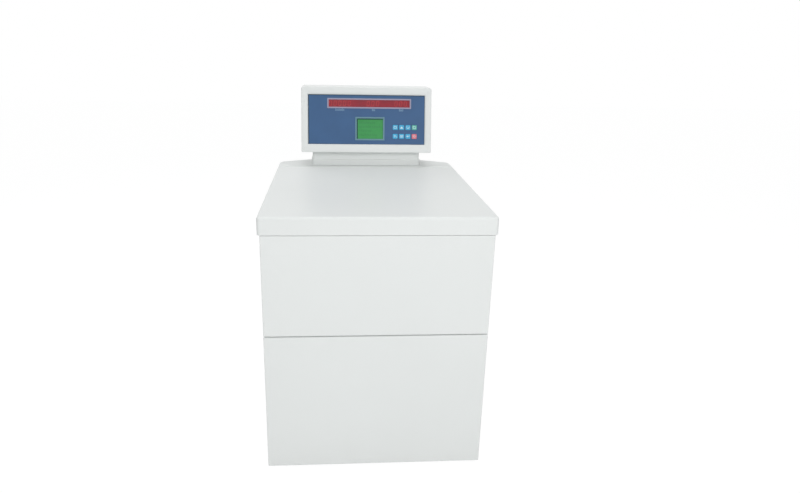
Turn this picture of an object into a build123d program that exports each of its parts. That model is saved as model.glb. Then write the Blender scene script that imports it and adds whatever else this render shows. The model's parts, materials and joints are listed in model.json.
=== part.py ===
from build123d import *
from math import cos, radians, sin, tan
import os

os.makedirs("parts", exist_ok=True)

# Floor-standing refrigerated centrifuge. Millimetres, +X right, +Y back, +Z up.
# The origin is on the floor, under the middle of the body.

# Cabinet
LID_W = 720.0
LID_H = 56.0
DEPTH = 940.0
REAR_HOOD_D = 165.0
TOP_Z = 864.0
LID_GAP = 3.0
SIDE_REVEAL = 8.0
END_REVEAL = 3.0
SKIRT_Z = 8.0
SEAM_Z = 478.0
SEAM_GAP = 3.0
PANEL_GAP = 2.0
SHEET = 1.5
PANEL_FLANGE = 22.0
BEND_R = 3.0
LID_BEND_R = 8.0
LID_CORNER_R = 12.0
REAR_CUT_W = 120.0
REAR_CUT_D = 60.0
DECK_SHEET = 3.0
DECK_GAP = 7.0
WIRE_HOLE_R = 24.0

# Frame and feet
TRAY_Z = 26.0
TRAY_T = 5.0
TRAY_FLANGE = 22.0
POST = 30.0
POST_WALL = 3.0
RAIL_H = 40.0
FOOT_PAD_R = 32.0
FOOT_PAD_H = 12.0
FOOT_STEM_R = 8.0
FOOT_INSET_X = 80.0
FOOT_INSET_Y = 70.0
FOOT_NUT_R, FOOT_NUT_H = 15.0, 16.0
FOOT_SPARE = 10.0
FIT = 0.05
CLEAR = 0.3

# Chamber
BOWL_R = 225.0
BOWL_DEPTH = 270.0
BOWL_T = 2.0
BOWL_FLOOR_R = 30.0
CHAMBER_BACK = 395.0
COIL_TUBE = 12.0
FOAM_T = 28.0
GUARD_T = 12.0
GUARD_FLOOR_T = 10.0
FOAM_FLOOR_T = 22.0
GASKET_W = 14.0
GASKET_EDGE = 1.0
GASKET_GAP = 4.0

# Rotor and drive
ROTOR_R = 188.0
ROTOR_TOP_R = 130.0
ROTOR_H = 150.0
ROTOR_RIM_H = 62.0
POCKET_COUNT = 6
POCKET_R = 35.0
POCKET_DEPTH = 112.0
POCKET_TILT = 23.0
POCKET_TOP_R = 82.0
ROTOR_FLOOR_GAP = 30.0
SPINDLE_R = 11.0
SPINDLE_TOP = 26.0
SPINDLE_END_GAP = 2.0
COLLAR_R, COLLAR_H = 20.0, 12.0
HUB_BORE_R = 24.0
HUB_BORE_DEPTH = 46.0
NUT_R = 21.0
NUT_H = 58.0
NUT_SIDES = 8
MOTOR_R = 92.0
MOTOR_H = 220.0
MOTOR_FINS, MOTOR_FIN_H = 20, 9.0
MOTOR_PLATE = 290.0
MOTOR_PLATE_T = 12.0
DAMPER_R = 18.0
DAMPER_H = 28.0
DAMPER_PITCH = 230.0
SEAL_R = 46.0
SEAL_H = 12.0
SEAL_SIDES = 12

# Lid fittings
LINER_INSET = 12.0
LINER_REAR = 24.0
LINER_T = 2.0
PLUG_GAP = 13.0
PLUG_DROP = 6.0
HINGE_X = 270.0
HINGE_DROP = 12.0
HINGE_EDGE = 8.0
PIN_R = 4.0
LUG_W = 10.0
LUG_R = 6.5
EAR_T = 3.0
EAR_REACH = 15.0
LUG_FOOT_T = 3.0
LUG_FOOT_D = 34.0
STRIKER_BACK = 55.0
STRIKER_T = 6.0
STRIKER_W = 18.0
STRIKER_FOOT = 36.0
STRIKER_REACH = 38.0
STRIKER_EYE = 14.0
BOLT_R = 5.0
BOLT_L = 40.0
BOLT_DROP = 27.0
BOLT_GAP = 1.0
SLOT_X = 16.0
SLOT_Y = 30.0
LOCK_WALL = 8.0
LOCK_END = 14.0
LOCK_DEPTH = 24.0

# Neck and control head
NECK_INSET = 43.5
NECK_BACK = 40.0
NECK_D = 96.0
NECK_H = 58.0
NECK_FOOT_H = 24.0
NECK_FOOT_OUT = 4.0
NECK_R = 10.0
HEAD_SIDE = 27.0
HEAD_END = 29.0
HEAD_D = 147.0
HEAD_LEAN = 12.0
HEAD_REVEAL = 24.0
HEAD_WALL = 3.0
VENT_COUNT, VENT_W, VENT_PITCH = 11, 6.0, 20.0
HEAD_R = 12.0
BEZEL_D = 22.0
PANEL_W = 473.0
PANEL_H = 198.0
PANEL_RISE = 1.5
PANEL_SET = 5.0
PANEL_T = 3.0
BEVEL = 4.0

# Panel layout: places along the tilted face from the middle or an edge of the blue panel
LED_U, LED_TOP = 10.5, 34.2
LED_END, LED_H = 66.5, 40.0
LED_RIM_U, LED_RIM_V = 6.5, 5.5
LCD_U, LCD_FOOT = 13.1, 63.2
LCD_W, LCD_H = 119.0, 93.5
LCD_FRAME = 9.0
RIM_RISE, LENS_DROP, SCREEN_DROP = 1.0, 0.5, 1.5
MODULE_EDGE = 4.0
KEY_END, KEY_FOOT = 120.0, 69.3
KEY_PITCH_U, KEY_PITCH_V = 26.0, 35.8
KEY_W, KEY_H = 21.0, 20.0
KEY_PROUD = 0.6
KEY_TRAVEL = 0.8
KEY_EDGE = 0.6
KEY_LIP = 1.0
KEY_COLUMNS, KEY_ROWS = 4, 2
BOARD_GAP = 9.0
BOARD_T = 1.6
BOARD_EDGE = 8.0

# Machine bay
COMP_R = 92.0
COMP_H = 230.0
COMP_X, COMP_BACK = -205.0, 255.0
COMP_DOME = 38.0
COMP_FOOT_Z, COMP_FOOT_T = 14.0, 10.0
COMP_PAD = 24.0
COMP_BOX_W, COMP_BOX_H, COMP_BOX_OUT = 60.0, 70.0, 22.0
CONDENSER_W = 400.0
CONDENSER_H = 300.0
CONDENSER_D = 44.0
CONDENSER_GAP = 8.0
CONDENSER_FINS, CONDENSER_FIN_T = 12, 2.0
CORE_SET = 6.0
FAN_R = 128.0
FAN_BLADES = 5
FAN_HUB_R = 34.0
FAN_TIP_GAP = 5.0
FAN_HUB_L = 22.0
BLADE_W, BLADE_T, BLADE_PITCH = 62.0, 2.5, 28.0
BLADE_SINK, FAN_SET, PIN_END_GAP = 2.5, 2.0, 2.0
SHROUD_T = 2.0
SHROUD_D = 46.0
FAN_ARM, FAN_ARM_T = 12.0, 4.0
FAN_MOTOR_R = 30.0
FAN_MOTOR_L = 46.0
FAN_PIN_R = 5.0
PIPE_R = 5.0
PIPE_OUT = 20.0
DRIER_R = 14.0
DRIER_L = 110.0
DRIVE_W, DRIVE_D, DRIVE_H = 110.0, 210.0, 280.0
DRIVE_FINS, DRIVE_FIN_L, DRIVE_FIN_T = 9, 30.0, 3.0
BOARD_TRAY_D, BOARD_TRAY_H, BOARD_TRAY_W, BOARD_TRAY_T = 230.0, 300.0, 90.0, 2.0
BOARD_BLOCK_T, TRANSFORMER, CAP_R, CAP_L = 10.0, 78.0, 16.0, 40.0
LOUVRES = 9
LOUVRE_W, LOUVRE_H, LOUVRE_PITCH = 168.0, 7.0, 20.0
SWITCH_X, SWITCH_Z = 190.0, 400.0
SWITCH_W, SWITCH_H, SWITCH_D = 30.0, 44.0, 30.0
SWITCH_RIM, SWITCH_LIP = 3.0, 2.0
ROCKER_SINK, ROCKER_PIN_R = 6.0, 3.0
ROCKER_THROW = 14.0
GLAND_X = 120.0
GLAND_R, GLAND_L = 12.0, 14.0
SCREW_R, SCREW_INSET = 4.0, 31.0

# Levels and edges that several pieces share
FRONT_Y = -DEPTH / 2
REAR_Y = DEPTH / 2
CAB_W = LID_W - 2 * SIDE_REVEAL
CAB_FRONT = FRONT_Y + END_REVEAL
CAB_REAR = REAR_Y - END_REVEAL
LID_REAR = REAR_Y - REAR_HOOD_D
DECK_FRONT = LID_REAR + DECK_GAP
LID_BASE_Z = TOP_Z - LID_H
DECK_Z = LID_BASE_Z - LID_GAP
DECK_UNDER = DECK_Z - DECK_SHEET
CUT_Y = REAR_Y - REAR_CUT_D
SIDE_FRONT = CAB_FRONT + PANEL_FLANGE + PANEL_GAP
SIDE_REAR = CUT_Y - PANEL_FLANGE
CHAMBER_Y = FRONT_Y + CHAMBER_BACK
BOWL_Z = DECK_Z - BOWL_DEPTH
PLUG_R = BOWL_R - PLUG_GAP
COIL_R = BOWL_R + BOWL_T
FOAM_R = COIL_R + COIL_TUBE
GUARD_R = FOAM_R + FOAM_T
GUARD_TOP = BOWL_Z - BOWL_T - FOAM_FLOOR_T
GUARD_Z = GUARD_TOP - GUARD_FLOOR_T
RAIL_Z = GUARD_Z - RAIL_H
PLATE_Z = GUARD_Z - DAMPER_H - MOTOR_PLATE_T
ROTOR_Z = BOWL_Z + ROTOR_FLOOR_GAP
TRAY_TOP = TRAY_Z + TRAY_T
POST_X = CAB_W / 2 - PANEL_FLANGE / 2 - CLEAR - TRAY_T - POST / 2
POST_FRONT_Y = CAB_FRONT + PANEL_FLANGE + CLEAR + POST / 2
POST_REAR_Y = SIDE_REAR - POST / 2
PIN_Y = LID_REAR - HINGE_EDGE
PIN_Z = TOP_Z - HINGE_DROP
LINER_Z = DECK_Z + GASKET_GAP
STRIKER_Y = FRONT_Y + STRIKER_BACK
BOLT_Z = DECK_Z - BOLT_DROP
HEAD_W = PANEL_W + 2 * HEAD_SIDE
HEAD_H = PANEL_H + 2 * HEAD_END
HEAD_BASE_Z = TOP_Z + NECK_H
HEAD_BACK = REAR_Y - HEAD_REVEAL
HEAD_FRONT = HEAD_BACK - HEAD_D
NECK_W = HEAD_W - 2 * NECK_INSET
NECK_FRONT = REAR_Y - NECK_BACK - NECK_D
LED_W = PANEL_W - 2 * LED_END
LED_V = PANEL_H / 2 - LED_TOP
LCD_V = LCD_FOOT - PANEL_H / 2
KEY_U = PANEL_W / 2 - KEY_END
KEY_V = KEY_FOOT - PANEL_H / 2
COMP_Y = REAR_Y - COMP_BACK
ROCKER_Y = CAB_REAR - ROCKER_SINK


def save(shape, name):
    export_step(shape, f"parts/{name}.step")


def block(x0, x1, y0, y1, z0, z1):
    """A box between two corners."""
    return Pos((x0 + x1) / 2, (y0 + y1) / 2, (z0 + z1) / 2) * Box(x1 - x0, y1 - y0, z1 - z0)


def post(r, z0, z1, x=0.0, y=0.0):
    """An upright cylinder."""
    return Pos(x, y, (z0 + z1) / 2) * Cylinder(r, z1 - z0)


def tube(r_out, r_in, z0, z1, x=0.0, y=0.0):
    """An upright ring or sleeve."""
    return post(r_out, z0, z1, x, y) - post(r_in, z0 - 1, z1 + 1, x, y)


def rod_x(r, x0, x1, y, z):
    """A cylinder that lies along X."""
    return Pos((x0 + x1) / 2, y, z) * Rot(0, 90, 0) * Cylinder(r, x1 - x0)


def rod_y(r, y0, y1, x, z):
    """A cylinder that lies along Y."""
    return Pos(x, (y0 + y1) / 2, z) * Rot(90, 0, 0) * Cylinder(r, y1 - y0)


def spun(points):
    """A solid turned about the chamber's axis from (radius, height) points."""
    outline = make_face(Polyline(*[(r, 0, z) for r, z in points], close=True))
    return Pos(0, CHAMBER_Y, 0) * revolve(outline, Axis.Z)


def group(*solids):
    return Compound(children=list(solids))


def body_plan(half_width, y_front, y_rear):
    """The cabinet's outline from above, with its rear corners cut off."""
    cut_x = half_width - REAR_CUT_W
    cut_y = y_rear - REAR_CUT_D
    points = [(-half_width, y_front), (half_width, y_front), (half_width, cut_y),
              (cut_x, y_rear), (-cut_x, y_rear), (-half_width, cut_y)]
    return make_face(Polyline(*points, close=True))


def front_panel(z0, z1):
    """A pressed front panel, folded back round all four edges."""
    back = CAB_FRONT + PANEL_FLANGE
    shell = block(-CAB_W / 2, CAB_W / 2, CAB_FRONT, back, z0, z1)
    shell = fillet(shell.faces().sort_by(Axis.Y)[0].edges(), BEND_R)
    return shell - block(-CAB_W / 2 + SHEET, CAB_W / 2 - SHEET,
                         CAB_FRONT + SHEET, back + 1, z0 + SHEET, z1 - SHEET)


def side_panel(side):
    """A folded side sheet with a field of air slots low at the back."""
    x0, x1 = CAB_W / 2 - PANEL_FLANGE / 2, CAB_W / 2
    shell = block(x0, x1, SIDE_FRONT, SIDE_REAR, SKIRT_Z, DECK_UNDER)
    shell -= block(x0 - 1, x1 - SHEET, SIDE_FRONT + SHEET, SIDE_REAR - SHEET,
                   SKIRT_Z + SHEET, DECK_UNDER - SHEET)
    slot_y = SIDE_REAR - LOUVRE_W
    slots = [block(x1 - 2 * SHEET, x1 + 1, slot_y - LOUVRE_W / 2, slot_y + LOUVRE_W / 2,
                   z - LOUVRE_H / 2, z + LOUVRE_H / 2) for z in louvre_heights()]
    shell -= slots
    return shell if side > 0 else mirror(shell, Plane.YZ)


def louvre_heights():
    low = TRAY_TOP + POST + LOUVRE_PITCH
    return [low + i * LOUVRE_PITCH for i in range(LOUVRES)]


def rear_panel():
    """The rear sheet, which wraps round both cut corners, with two fields of air slots."""
    outer = extrude(Pos(0, 0, SKIRT_Z) * body_plan(CAB_W / 2, 0, CAB_REAR), DECK_UNDER - SKIRT_Z)
    inner = extrude(Pos(0, 0, SKIRT_Z) * offset(body_plan(CAB_W / 2, 0, CAB_REAR), -SHEET,
                                                kind=Kind.INTERSECTION), DECK_UNDER - SKIRT_Z)
    sheet = outer - inner
    sheet &= block(-LID_W, LID_W, SIDE_REAR + PANEL_GAP, REAR_Y, 0, TOP_Z)
    slot_x = LOUVRE_W / 2 + LOUVRE_PITCH / 2
    slots = [block(x - LOUVRE_W / 2, x + LOUVRE_W / 2, CAB_REAR - 2 * SHEET, CAB_REAR + 1,
                   z - LOUVRE_H / 2 + CONDENSER_GAP, z + LOUVRE_H / 2 + CONDENSER_GAP)
             for x in (-slot_x, slot_x) for z in [h + 2 * LOUVRE_PITCH for h in louvre_heights()]]
    sheet -= slots
    sheet -= block(SWITCH_X - SWITCH_W / 2, SWITCH_X + SWITCH_W / 2, CAB_REAR - 2 * SHEET, CAB_REAR + 1,
                   SWITCH_Z - SWITCH_H / 2, SWITCH_Z + SWITCH_H / 2)
    return sheet - rod_y(GLAND_R, CAB_REAR - 2 * SHEET, CAB_REAR + 1, GLAND_X, SWITCH_Z)


def top_deck():
    """The plate under the lid, with the chamber mouth and the lock slot."""
    plan = body_plan(CAB_W / 2, CAB_FRONT + PANEL_FLANGE + CLEAR, CAB_REAR)
    deck = extrude(Pos(0, 0, DECK_UNDER) * plan, DECK_SHEET)
    deck -= post(BOWL_R + BOWL_T + FIT, DECK_UNDER - 1, DECK_Z + 1, 0, CHAMBER_Y)
    deck -= block(-SLOT_X / 2, SLOT_X / 2, STRIKER_Y - SLOT_Y / 2, STRIKER_Y + SLOT_Y / 2,
                  DECK_UNDER - 1, DECK_Z + 1)
    return deck


def rear_deck():
    """The fixed hood behind the lid, which carries the neck."""
    half = LID_W / 2
    plan = body_plan(half, DECK_FRONT, REAR_Y)
    hood = extrude(Pos(0, 0, DECK_Z) * plan, TOP_Z - DECK_Z)
    hood = fillet(hood.faces().sort_by(Axis.Z)[-1].edges(), LID_BEND_R)
    hollow = extrude(Pos(0, 0, DECK_Z - 1) * offset(plan, -SHEET, kind=Kind.INTERSECTION),
                     TOP_Z - DECK_Z - SHEET + 1)
    hollow = chamfer(hollow.faces().sort_by(Axis.Z)[-1].edges(), (LID_BEND_R - SHEET) / 2)
    return hood - hollow - post(WIRE_HOLE_R, DECK_Z, TOP_Z + 1, 0, NECK_FRONT + NECK_D / 2)


def lid_skin():
    """The folded steel lid, open below, with a slot at the back for each hinge."""
    half = LID_W / 2
    shell = block(-half, half, FRONT_Y, LID_REAR, LID_BASE_Z, TOP_Z)
    shell = fillet(shell.edges().filter_by(Axis.Z).sort_by(Axis.Y)[:2], LID_CORNER_R)
    shell = fillet(shell.faces().sort_by(Axis.Z)[-1].edges(), LID_BEND_R)
    core = block(-half + SHEET, half - SHEET, FRONT_Y + SHEET, LID_REAR - SHEET,
                 LID_BASE_Z - 1, TOP_Z - SHEET)
    core = chamfer(core.edges().filter_by(Axis.Z).sort_by(Axis.Y)[:2], LID_CORNER_R / 2)
    core = chamfer(core.faces().sort_by(Axis.Z)[-1].edges(), (LID_BEND_R - SHEET) / 2)
    shell -= core
    notch = LUG_W / 2 + EAR_T + PANEL_GAP
    for x in (-HINGE_X, HINGE_X):
        shell -= block(x - notch, x + notch, LID_REAR - LID_BEND_R - 1, LID_REAR + 1,
                       LID_BASE_Z - 1, PIN_Z + LUG_R + CLEAR)
    return shell


def lid_liner():
    """The stainless underside of the lid: a closed pan with a round plug over the chamber."""
    x = LID_W / 2 - LINER_INSET
    y0, y1 = FRONT_Y + LINER_INSET, LID_REAR - LINER_REAR
    pan = block(-x, x, y0, y1, LINER_Z, TOP_Z - SHEET)
    pan -= block(-x + LINER_T, x - LINER_T, y0 + LINER_T, y1 - LINER_T, LINER_Z + LINER_T, TOP_Z)
    plug = [(0, LINER_Z - PLUG_DROP), (PLUG_R - PLUG_DROP, LINER_Z - PLUG_DROP), (PLUG_R, LINER_Z),
            (PLUG_R, LINER_Z + LINER_T), (0, LINER_Z + LINER_T)]
    return pan + spun(plug)


def lid_striker():
    """The eyed tongue that the lock bolt passes through."""
    foot = block(-STRIKER_FOOT / 2, STRIKER_FOOT / 2, STRIKER_Y - STRIKER_W / 2, STRIKER_Y + STRIKER_W / 2,
                 LINER_Z - LINER_T, LINER_Z)
    tip = LINER_Z - LINER_T - STRIKER_REACH
    tongue = block(-STRIKER_T / 2, STRIKER_T / 2, STRIKER_Y - STRIKER_W / 2, STRIKER_Y + STRIKER_W / 2,
                   tip, LINER_Z - LINER_T)
    eye = block(-STRIKER_T, STRIKER_T, STRIKER_Y - STRIKER_EYE / 2, STRIKER_Y + STRIKER_EYE / 2,
                BOLT_Z - STRIKER_EYE / 2, BOLT_Z + STRIKER_EYE / 2)
    return foot + tongue - eye


def hinge_brackets():
    """Two lugs that stand on the deck and hold the lid's hinge pins."""
    lugs = []
    for x in (-HINGE_X, HINGE_X):
        lug = block(x - LUG_W / 2, x + LUG_W / 2, PIN_Y - LUG_R, PIN_Y + LUG_R, DECK_Z, PIN_Z)
        lug += rod_x(LUG_R, x - LUG_W / 2, x + LUG_W / 2, PIN_Y, PIN_Z)
        lug += block(x - LUG_W / 2 - EAR_T, x + LUG_W / 2 + EAR_T, PIN_Y + LUG_R - LUG_FOOT_D,
                     PIN_Y + LUG_R, DECK_Z, DECK_Z + LUG_FOOT_T)
        lugs.append(lug - rod_x(PIN_R + FIT, x - LUG_W, x + LUG_W, PIN_Y, PIN_Z))
    return group(*lugs)


def hinge_ears():
    """Two ears to each hinge, fixed under the lid's skin beside the lug."""
    ears = []
    for x in (-HINGE_X, HINGE_X):
        for side in (-1, 1):
            inner = x + side * (LUG_W / 2 + CLEAR)
            outer = inner + side * EAR_T
            x0, x1 = min(inner, outer), max(inner, outer)
            top = TOP_Z - SHEET
            ear = block(x0, x1, PIN_Y - EAR_REACH, PIN_Y - LUG_R, PIN_Z - LUG_R, top)
            ear += block(x0, x1, PIN_Y - LUG_R, PIN_Y + PIN_R, PIN_Z - LUG_R, PIN_Z + LUG_R)
            ear += block(x0, x1, PIN_Y, PIN_Y + LUG_R, PIN_Z - PIN_R, PIN_Z + PIN_R)
            ears.append(ear - rod_x(PIN_R, x0 - 1, x1 + 1, PIN_Y, PIN_Z))
    return group(*ears)


def hinge_pins():
    reach = LUG_W / 2 + CLEAR + EAR_T
    return group(*[rod_x(PIN_R, x - reach, x + reach, PIN_Y, PIN_Z) for x in (-HINGE_X, HINGE_X)])


def lock_body():
    """The lid lock's block under the deck, with its slot and the bolt's bore."""
    right = SLOT_X / 2 + BOLT_GAP + BOLT_L + LOCK_END
    side = SLOT_Y / 2 + LOCK_WALL
    shell = block(-SLOT_X / 2 - LOCK_END, right, STRIKER_Y - side, STRIKER_Y + side,
                  BOLT_Z - LOCK_DEPTH, DECK_UNDER)
    shell -= block(-SLOT_X / 2, SLOT_X / 2, STRIKER_Y - SLOT_Y / 2, STRIKER_Y + SLOT_Y / 2,
                   BOLT_Z - LOCK_DEPTH + LOCK_WALL, DECK_UNDER + 1)
    return shell - rod_x(BOLT_R + FIT, -SLOT_X / 2 - LOCK_END / 2, right + 1, STRIKER_Y, BOLT_Z)


def lock_bolt():
    start = SLOT_X / 2 + BOLT_GAP
    return rod_x(BOLT_R, start, start + BOLT_L, STRIKER_Y, BOLT_Z)


def base_frame():
    """The floor tray with folded sides and the four threaded bosses for the feet."""
    x = CAB_W / 2 - PANEL_FLANGE / 2 - CLEAR
    plan = body_plan(x, CAB_FRONT + SHEET + CLEAR, CAB_REAR - SHEET - CLEAR)
    plan_in = offset(plan, -TRAY_T, kind=Kind.INTERSECTION)
    tray = extrude(Pos(0, 0, TRAY_Z) * plan, TRAY_T + TRAY_FLANGE)
    tray -= extrude(Pos(0, 0, TRAY_TOP) * plan_in, TRAY_FLANGE + 1)
    for x, y in foot_places():
        tray += extrude(Pos(x, y, TRAY_TOP) * RegularPolygon(FOOT_NUT_R, 6), FOOT_NUT_H)
        tray -= post(FOOT_STEM_R + FIT, TRAY_Z - 1, TRAY_TOP + FOOT_NUT_H + 1, x, y)
    return tray


def foot_places():
    x = CAB_W / 2 - FOOT_INSET_X
    return [(-x, CAB_FRONT + FOOT_INSET_Y), (x, CAB_FRONT + FOOT_INSET_Y),
            (-x, CUT_Y - FOOT_INSET_Y), (x, CUT_Y - FOOT_INSET_Y)]


def levelling_foot(x, y):
    """A screw foot: a broad hexagonal pad that a spanner turns, a shank and a plain stem."""
    foot = extrude(Pos(x, y, 0) * RegularPolygon(FOOT_PAD_R, 6), FOOT_PAD_H)
    foot = chamfer(foot.faces().sort_by(Axis.Z)[-1].edges(), FOOT_PAD_H / 4)
    return foot + post(FOOT_STEM_R, FOOT_PAD_H, TRAY_TOP + FOOT_NUT_H + FOOT_SPARE, x, y)


def frame_posts():
    """Four square tube posts, two side rails and the two cross rails under the guard drum."""
    solids = []
    for x in (-POST_X, POST_X):
        for y in (POST_FRONT_Y, POST_REAR_Y):
            tube_ = block(x - POST / 2, x + POST / 2, y - POST / 2, y + POST / 2, TRAY_TOP, DECK_UNDER)
            bore = POST / 2 - POST_WALL
            solids.append(tube_ - block(x - bore, x + bore, y - bore, y + bore, 0, TOP_Z))
        solids.append(block(x - POST / 2, x + POST / 2, POST_FRONT_Y + POST / 2,
                            POST_REAR_Y - POST / 2, RAIL_Z, GUARD_Z))
    reach = POST_X - POST / 2
    for y in cross_rail_places():
        solids.append(block(-reach, reach, y - POST / 2, y + POST / 2, RAIL_Z, GUARD_Z))
    return group(*solids)


def cross_rail_places():
    gap = MOTOR_PLATE / 2 + POST
    return [CHAMBER_Y - gap, CHAMBER_Y + gap]


def chamber_bowl():
    """The spun stainless bowl, with a sloped floor edge and a hole for the spindle."""
    r, t, f = BOWL_R, BOWL_T, BOWL_FLOOR_R
    slip = t * tan(radians(22.5))
    return spun([(SEAL_R / 2, BOWL_Z), (r - f, BOWL_Z), (r, BOWL_Z + f), (r, DECK_Z), (r + t, DECK_Z),
                 (r + t, BOWL_Z + f - slip), (r - f + slip, BOWL_Z - t), (SEAL_R / 2, BOWL_Z - t)])


def evaporator_coil():
    """The coil brazed round the bowl, as one sleeve that fills the turns' place."""
    low, high = BOWL_Z + BOWL_FLOOR_R, DECK_UNDER - BOWL_FLOOR_R
    inner, outer = COIL_R + FIT, COIL_R + COIL_TUBE - FIT
    return spun([(inner, low), (outer, low), (outer, high), (inner, high)])


def eight_sided(half, z0, z1):
    """A block round the chamber's axis with its four upright corners cut off."""
    blank = block(-half, half, CHAMBER_Y - half, CHAMBER_Y + half, z0, z1)
    return chamfer(blank.edges().filter_by(Axis.Z), half * (2 - 2 ** 0.5))


def chamber_insulation():
    """Foam between the coil and the guard drum, with a floor under the bowl."""
    foam = eight_sided(GUARD_R, GUARD_TOP, DECK_UNDER) - post(FOAM_R, BOWL_Z - BOWL_T, DECK_Z, 0, CHAMBER_Y)
    return foam - post(SEAL_R, GUARD_Z, DECK_Z, 0, CHAMBER_Y)


def guard_drum():
    """The armour round the chamber: eight welded plates on a floor plate."""
    drum = eight_sided(GUARD_R + GUARD_T, GUARD_Z, DECK_UNDER) - eight_sided(GUARD_R, GUARD_TOP, DECK_Z)
    return drum - post(SEAL_R, GUARD_Z - 1, GUARD_TOP + 1, 0, CHAMBER_Y)


def chamber_gasket():
    """The rubber ring round the mouth, with a lip that the lid presses on."""
    inner = BOWL_R + BOWL_T + GASKET_EDGE
    return spun([(inner, DECK_Z), (inner + GASKET_W, DECK_Z), (inner + GASKET_W / 2, LINER_Z - CLEAR)])


def spindle_seal():
    """The rubber boot that closes the bowl's floor round the spindle."""
    boot = extrude(Pos(0, CHAMBER_Y, BOWL_Z) * RegularPolygon(SEAL_R, SEAL_SIDES), SEAL_H)
    boot = chamfer(boot.faces().sort_by(Axis.Z)[-1].edges(), SEAL_H * 0.8)
    return boot - post(SPINDLE_R + CLEAR, BOWL_Z - 1, BOWL_Z + SEAL_H + 1, 0, CHAMBER_Y)


def rotor_body():
    """The fixed-angle rotor: an aluminium cone with slanted bottle pockets."""
    z0, z1 = ROTOR_Z, ROTOR_Z + ROTOR_H
    bore = SPINDLE_R + FIT
    cone = spun([(bore, z0), (ROTOR_R, z0), (ROTOR_R, z0 + ROTOR_RIM_H), (ROTOR_TOP_R, z1), (HUB_BORE_R, z1),
                 (HUB_BORE_R, z1 - HUB_BORE_DEPTH), (bore, z1 - HUB_BORE_DEPTH)])
    for i in range(POCKET_COUNT):
        cone -= Pos(0, CHAMBER_Y, 0) * Rot(0, 0, i * 360 / POCKET_COUNT) * rotor_pocket(z1)
    return cone


def rotor_pocket(z_top):
    """One pocket, which leans out towards its foot and runs on past the rotor's top."""
    run = POCKET_R * 1.2
    pocket = Pos(0, 0, (run - POCKET_DEPTH) / 2) * Cylinder(POCKET_R, POCKET_DEPTH + run)
    return Pos(POCKET_TOP_R, 0, z_top) * Rot(0, -POCKET_TILT, 0) * pocket


def rotor_nut():
    """The eight-sided knob that holds the rotor down on the spindle."""
    z0 = ROTOR_Z + ROTOR_H - HUB_BORE_DEPTH
    knob = extrude(Pos(0, CHAMBER_Y, z0) * RegularPolygon(NUT_R, NUT_SIDES), NUT_H)
    knob = chamfer(knob.faces().sort_by(Axis.Z)[-1].edges(), NUT_R / 6)
    return knob - post(SPINDLE_R + FIT, z0 - 1, z0 + SPINDLE_TOP + 1, 0, CHAMBER_Y)


def spindle():
    """The drive spindle with its seat collar. Its bottom sits in the motor, its top in the nut."""
    top = ROTOR_Z + ROTOR_H - HUB_BORE_DEPTH + SPINDLE_TOP
    shaft = post(SPINDLE_R, PLATE_Z - MOTOR_H / 2, top, 0, CHAMBER_Y)
    return shaft + post(COLLAR_R, ROTOR_Z - COLLAR_H, ROTOR_Z, 0, CHAMBER_Y)


def motor_housing():
    """The drive motor: a case with upright cooling fins, bored from above for the spindle."""
    top, low = PLATE_Z, PLATE_Z - MOTOR_H
    root = MOTOR_R - MOTOR_FIN_H
    points = []
    for i in range(MOTOR_FINS):
        for r, share in ((root, 0), (MOTOR_R, 0.1), (MOTOR_R, 0.45), (root, 0.55)):
            angle = radians((i + share) * 360 / MOTOR_FINS)
            points.append((r * cos(angle), r * sin(angle)))
    case = extrude(Pos(0, CHAMBER_Y, low) * make_face(Polyline(*points, close=True)), MOTOR_H)
    return case - post(SPINDLE_R + CLEAR, top - MOTOR_H / 2 - SPINDLE_END_GAP, top + 1, 0, CHAMBER_Y)


def motor_plate():
    half = MOTOR_PLATE / 2
    plate = block(-half, half, CHAMBER_Y - half, CHAMBER_Y + half, PLATE_Z, PLATE_Z + MOTOR_PLATE_T)
    plate = chamfer(plate.edges().filter_by(Axis.Z), DAMPER_R)
    return plate - post(SPINDLE_R + CLEAR, PLATE_Z - 1, PLATE_Z + MOTOR_PLATE_T + 1, 0, CHAMBER_Y)


def motor_dampers():
    """Four rubber block mounts between the motor plate and the guard drum."""
    half = DAMPER_PITCH / 2
    return group(*[block(x - DAMPER_R, x + DAMPER_R, CHAMBER_Y + y - DAMPER_R, CHAMBER_Y + y + DAMPER_R,
                         PLATE_Z + MOTOR_PLATE_T, GUARD_Z) for x in (-half, half) for y in (-half, half)])


def neck():
    """The hollow neck between the rear deck and the head, with a wider foot."""
    at = Pos(0, NECK_FRONT + NECK_D / 2, TOP_Z)
    out = 2 * NECK_FOOT_OUT
    wall = extrude(at * RectangleRounded(NECK_W + out, NECK_D + out, NECK_R + NECK_FOOT_OUT), NECK_FOOT_H)
    wall += extrude(at * RectangleRounded(NECK_W, NECK_D, NECK_R), NECK_H)
    return wall - extrude(at * Rectangle(NECK_W - 2 * HEAD_WALL, NECK_D - 2 * HEAD_WALL), NECK_H)


def head_profile(inset):
    """The head's side view: a face that leans back and a plumb rear."""
    lean = tan(radians(HEAD_LEAN))
    z0, z1 = HEAD_BASE_Z + inset, HEAD_BASE_Z + HEAD_H - inset
    shift = inset / cos(radians(HEAD_LEAN))
    y0 = HEAD_FRONT + lean * (z0 - HEAD_BASE_Z) + shift
    y1 = HEAD_FRONT + lean * (z1 - HEAD_BASE_Z) + shift
    return make_face(Polyline((0, y0, z0), (0, HEAD_BACK - inset, z0), (0, HEAD_BACK - inset, z1),
                              (0, y1, z1), close=True))


def head_block(inset, corner):
    half = HEAD_W / 2 - inset
    blank = Pos(-half, 0, 0) * extrude(head_profile(inset), 2 * half, dir=(1, 0, 0))
    return fillet(blank.edges().filter_by(Axis.Y), corner) if corner else blank


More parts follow.
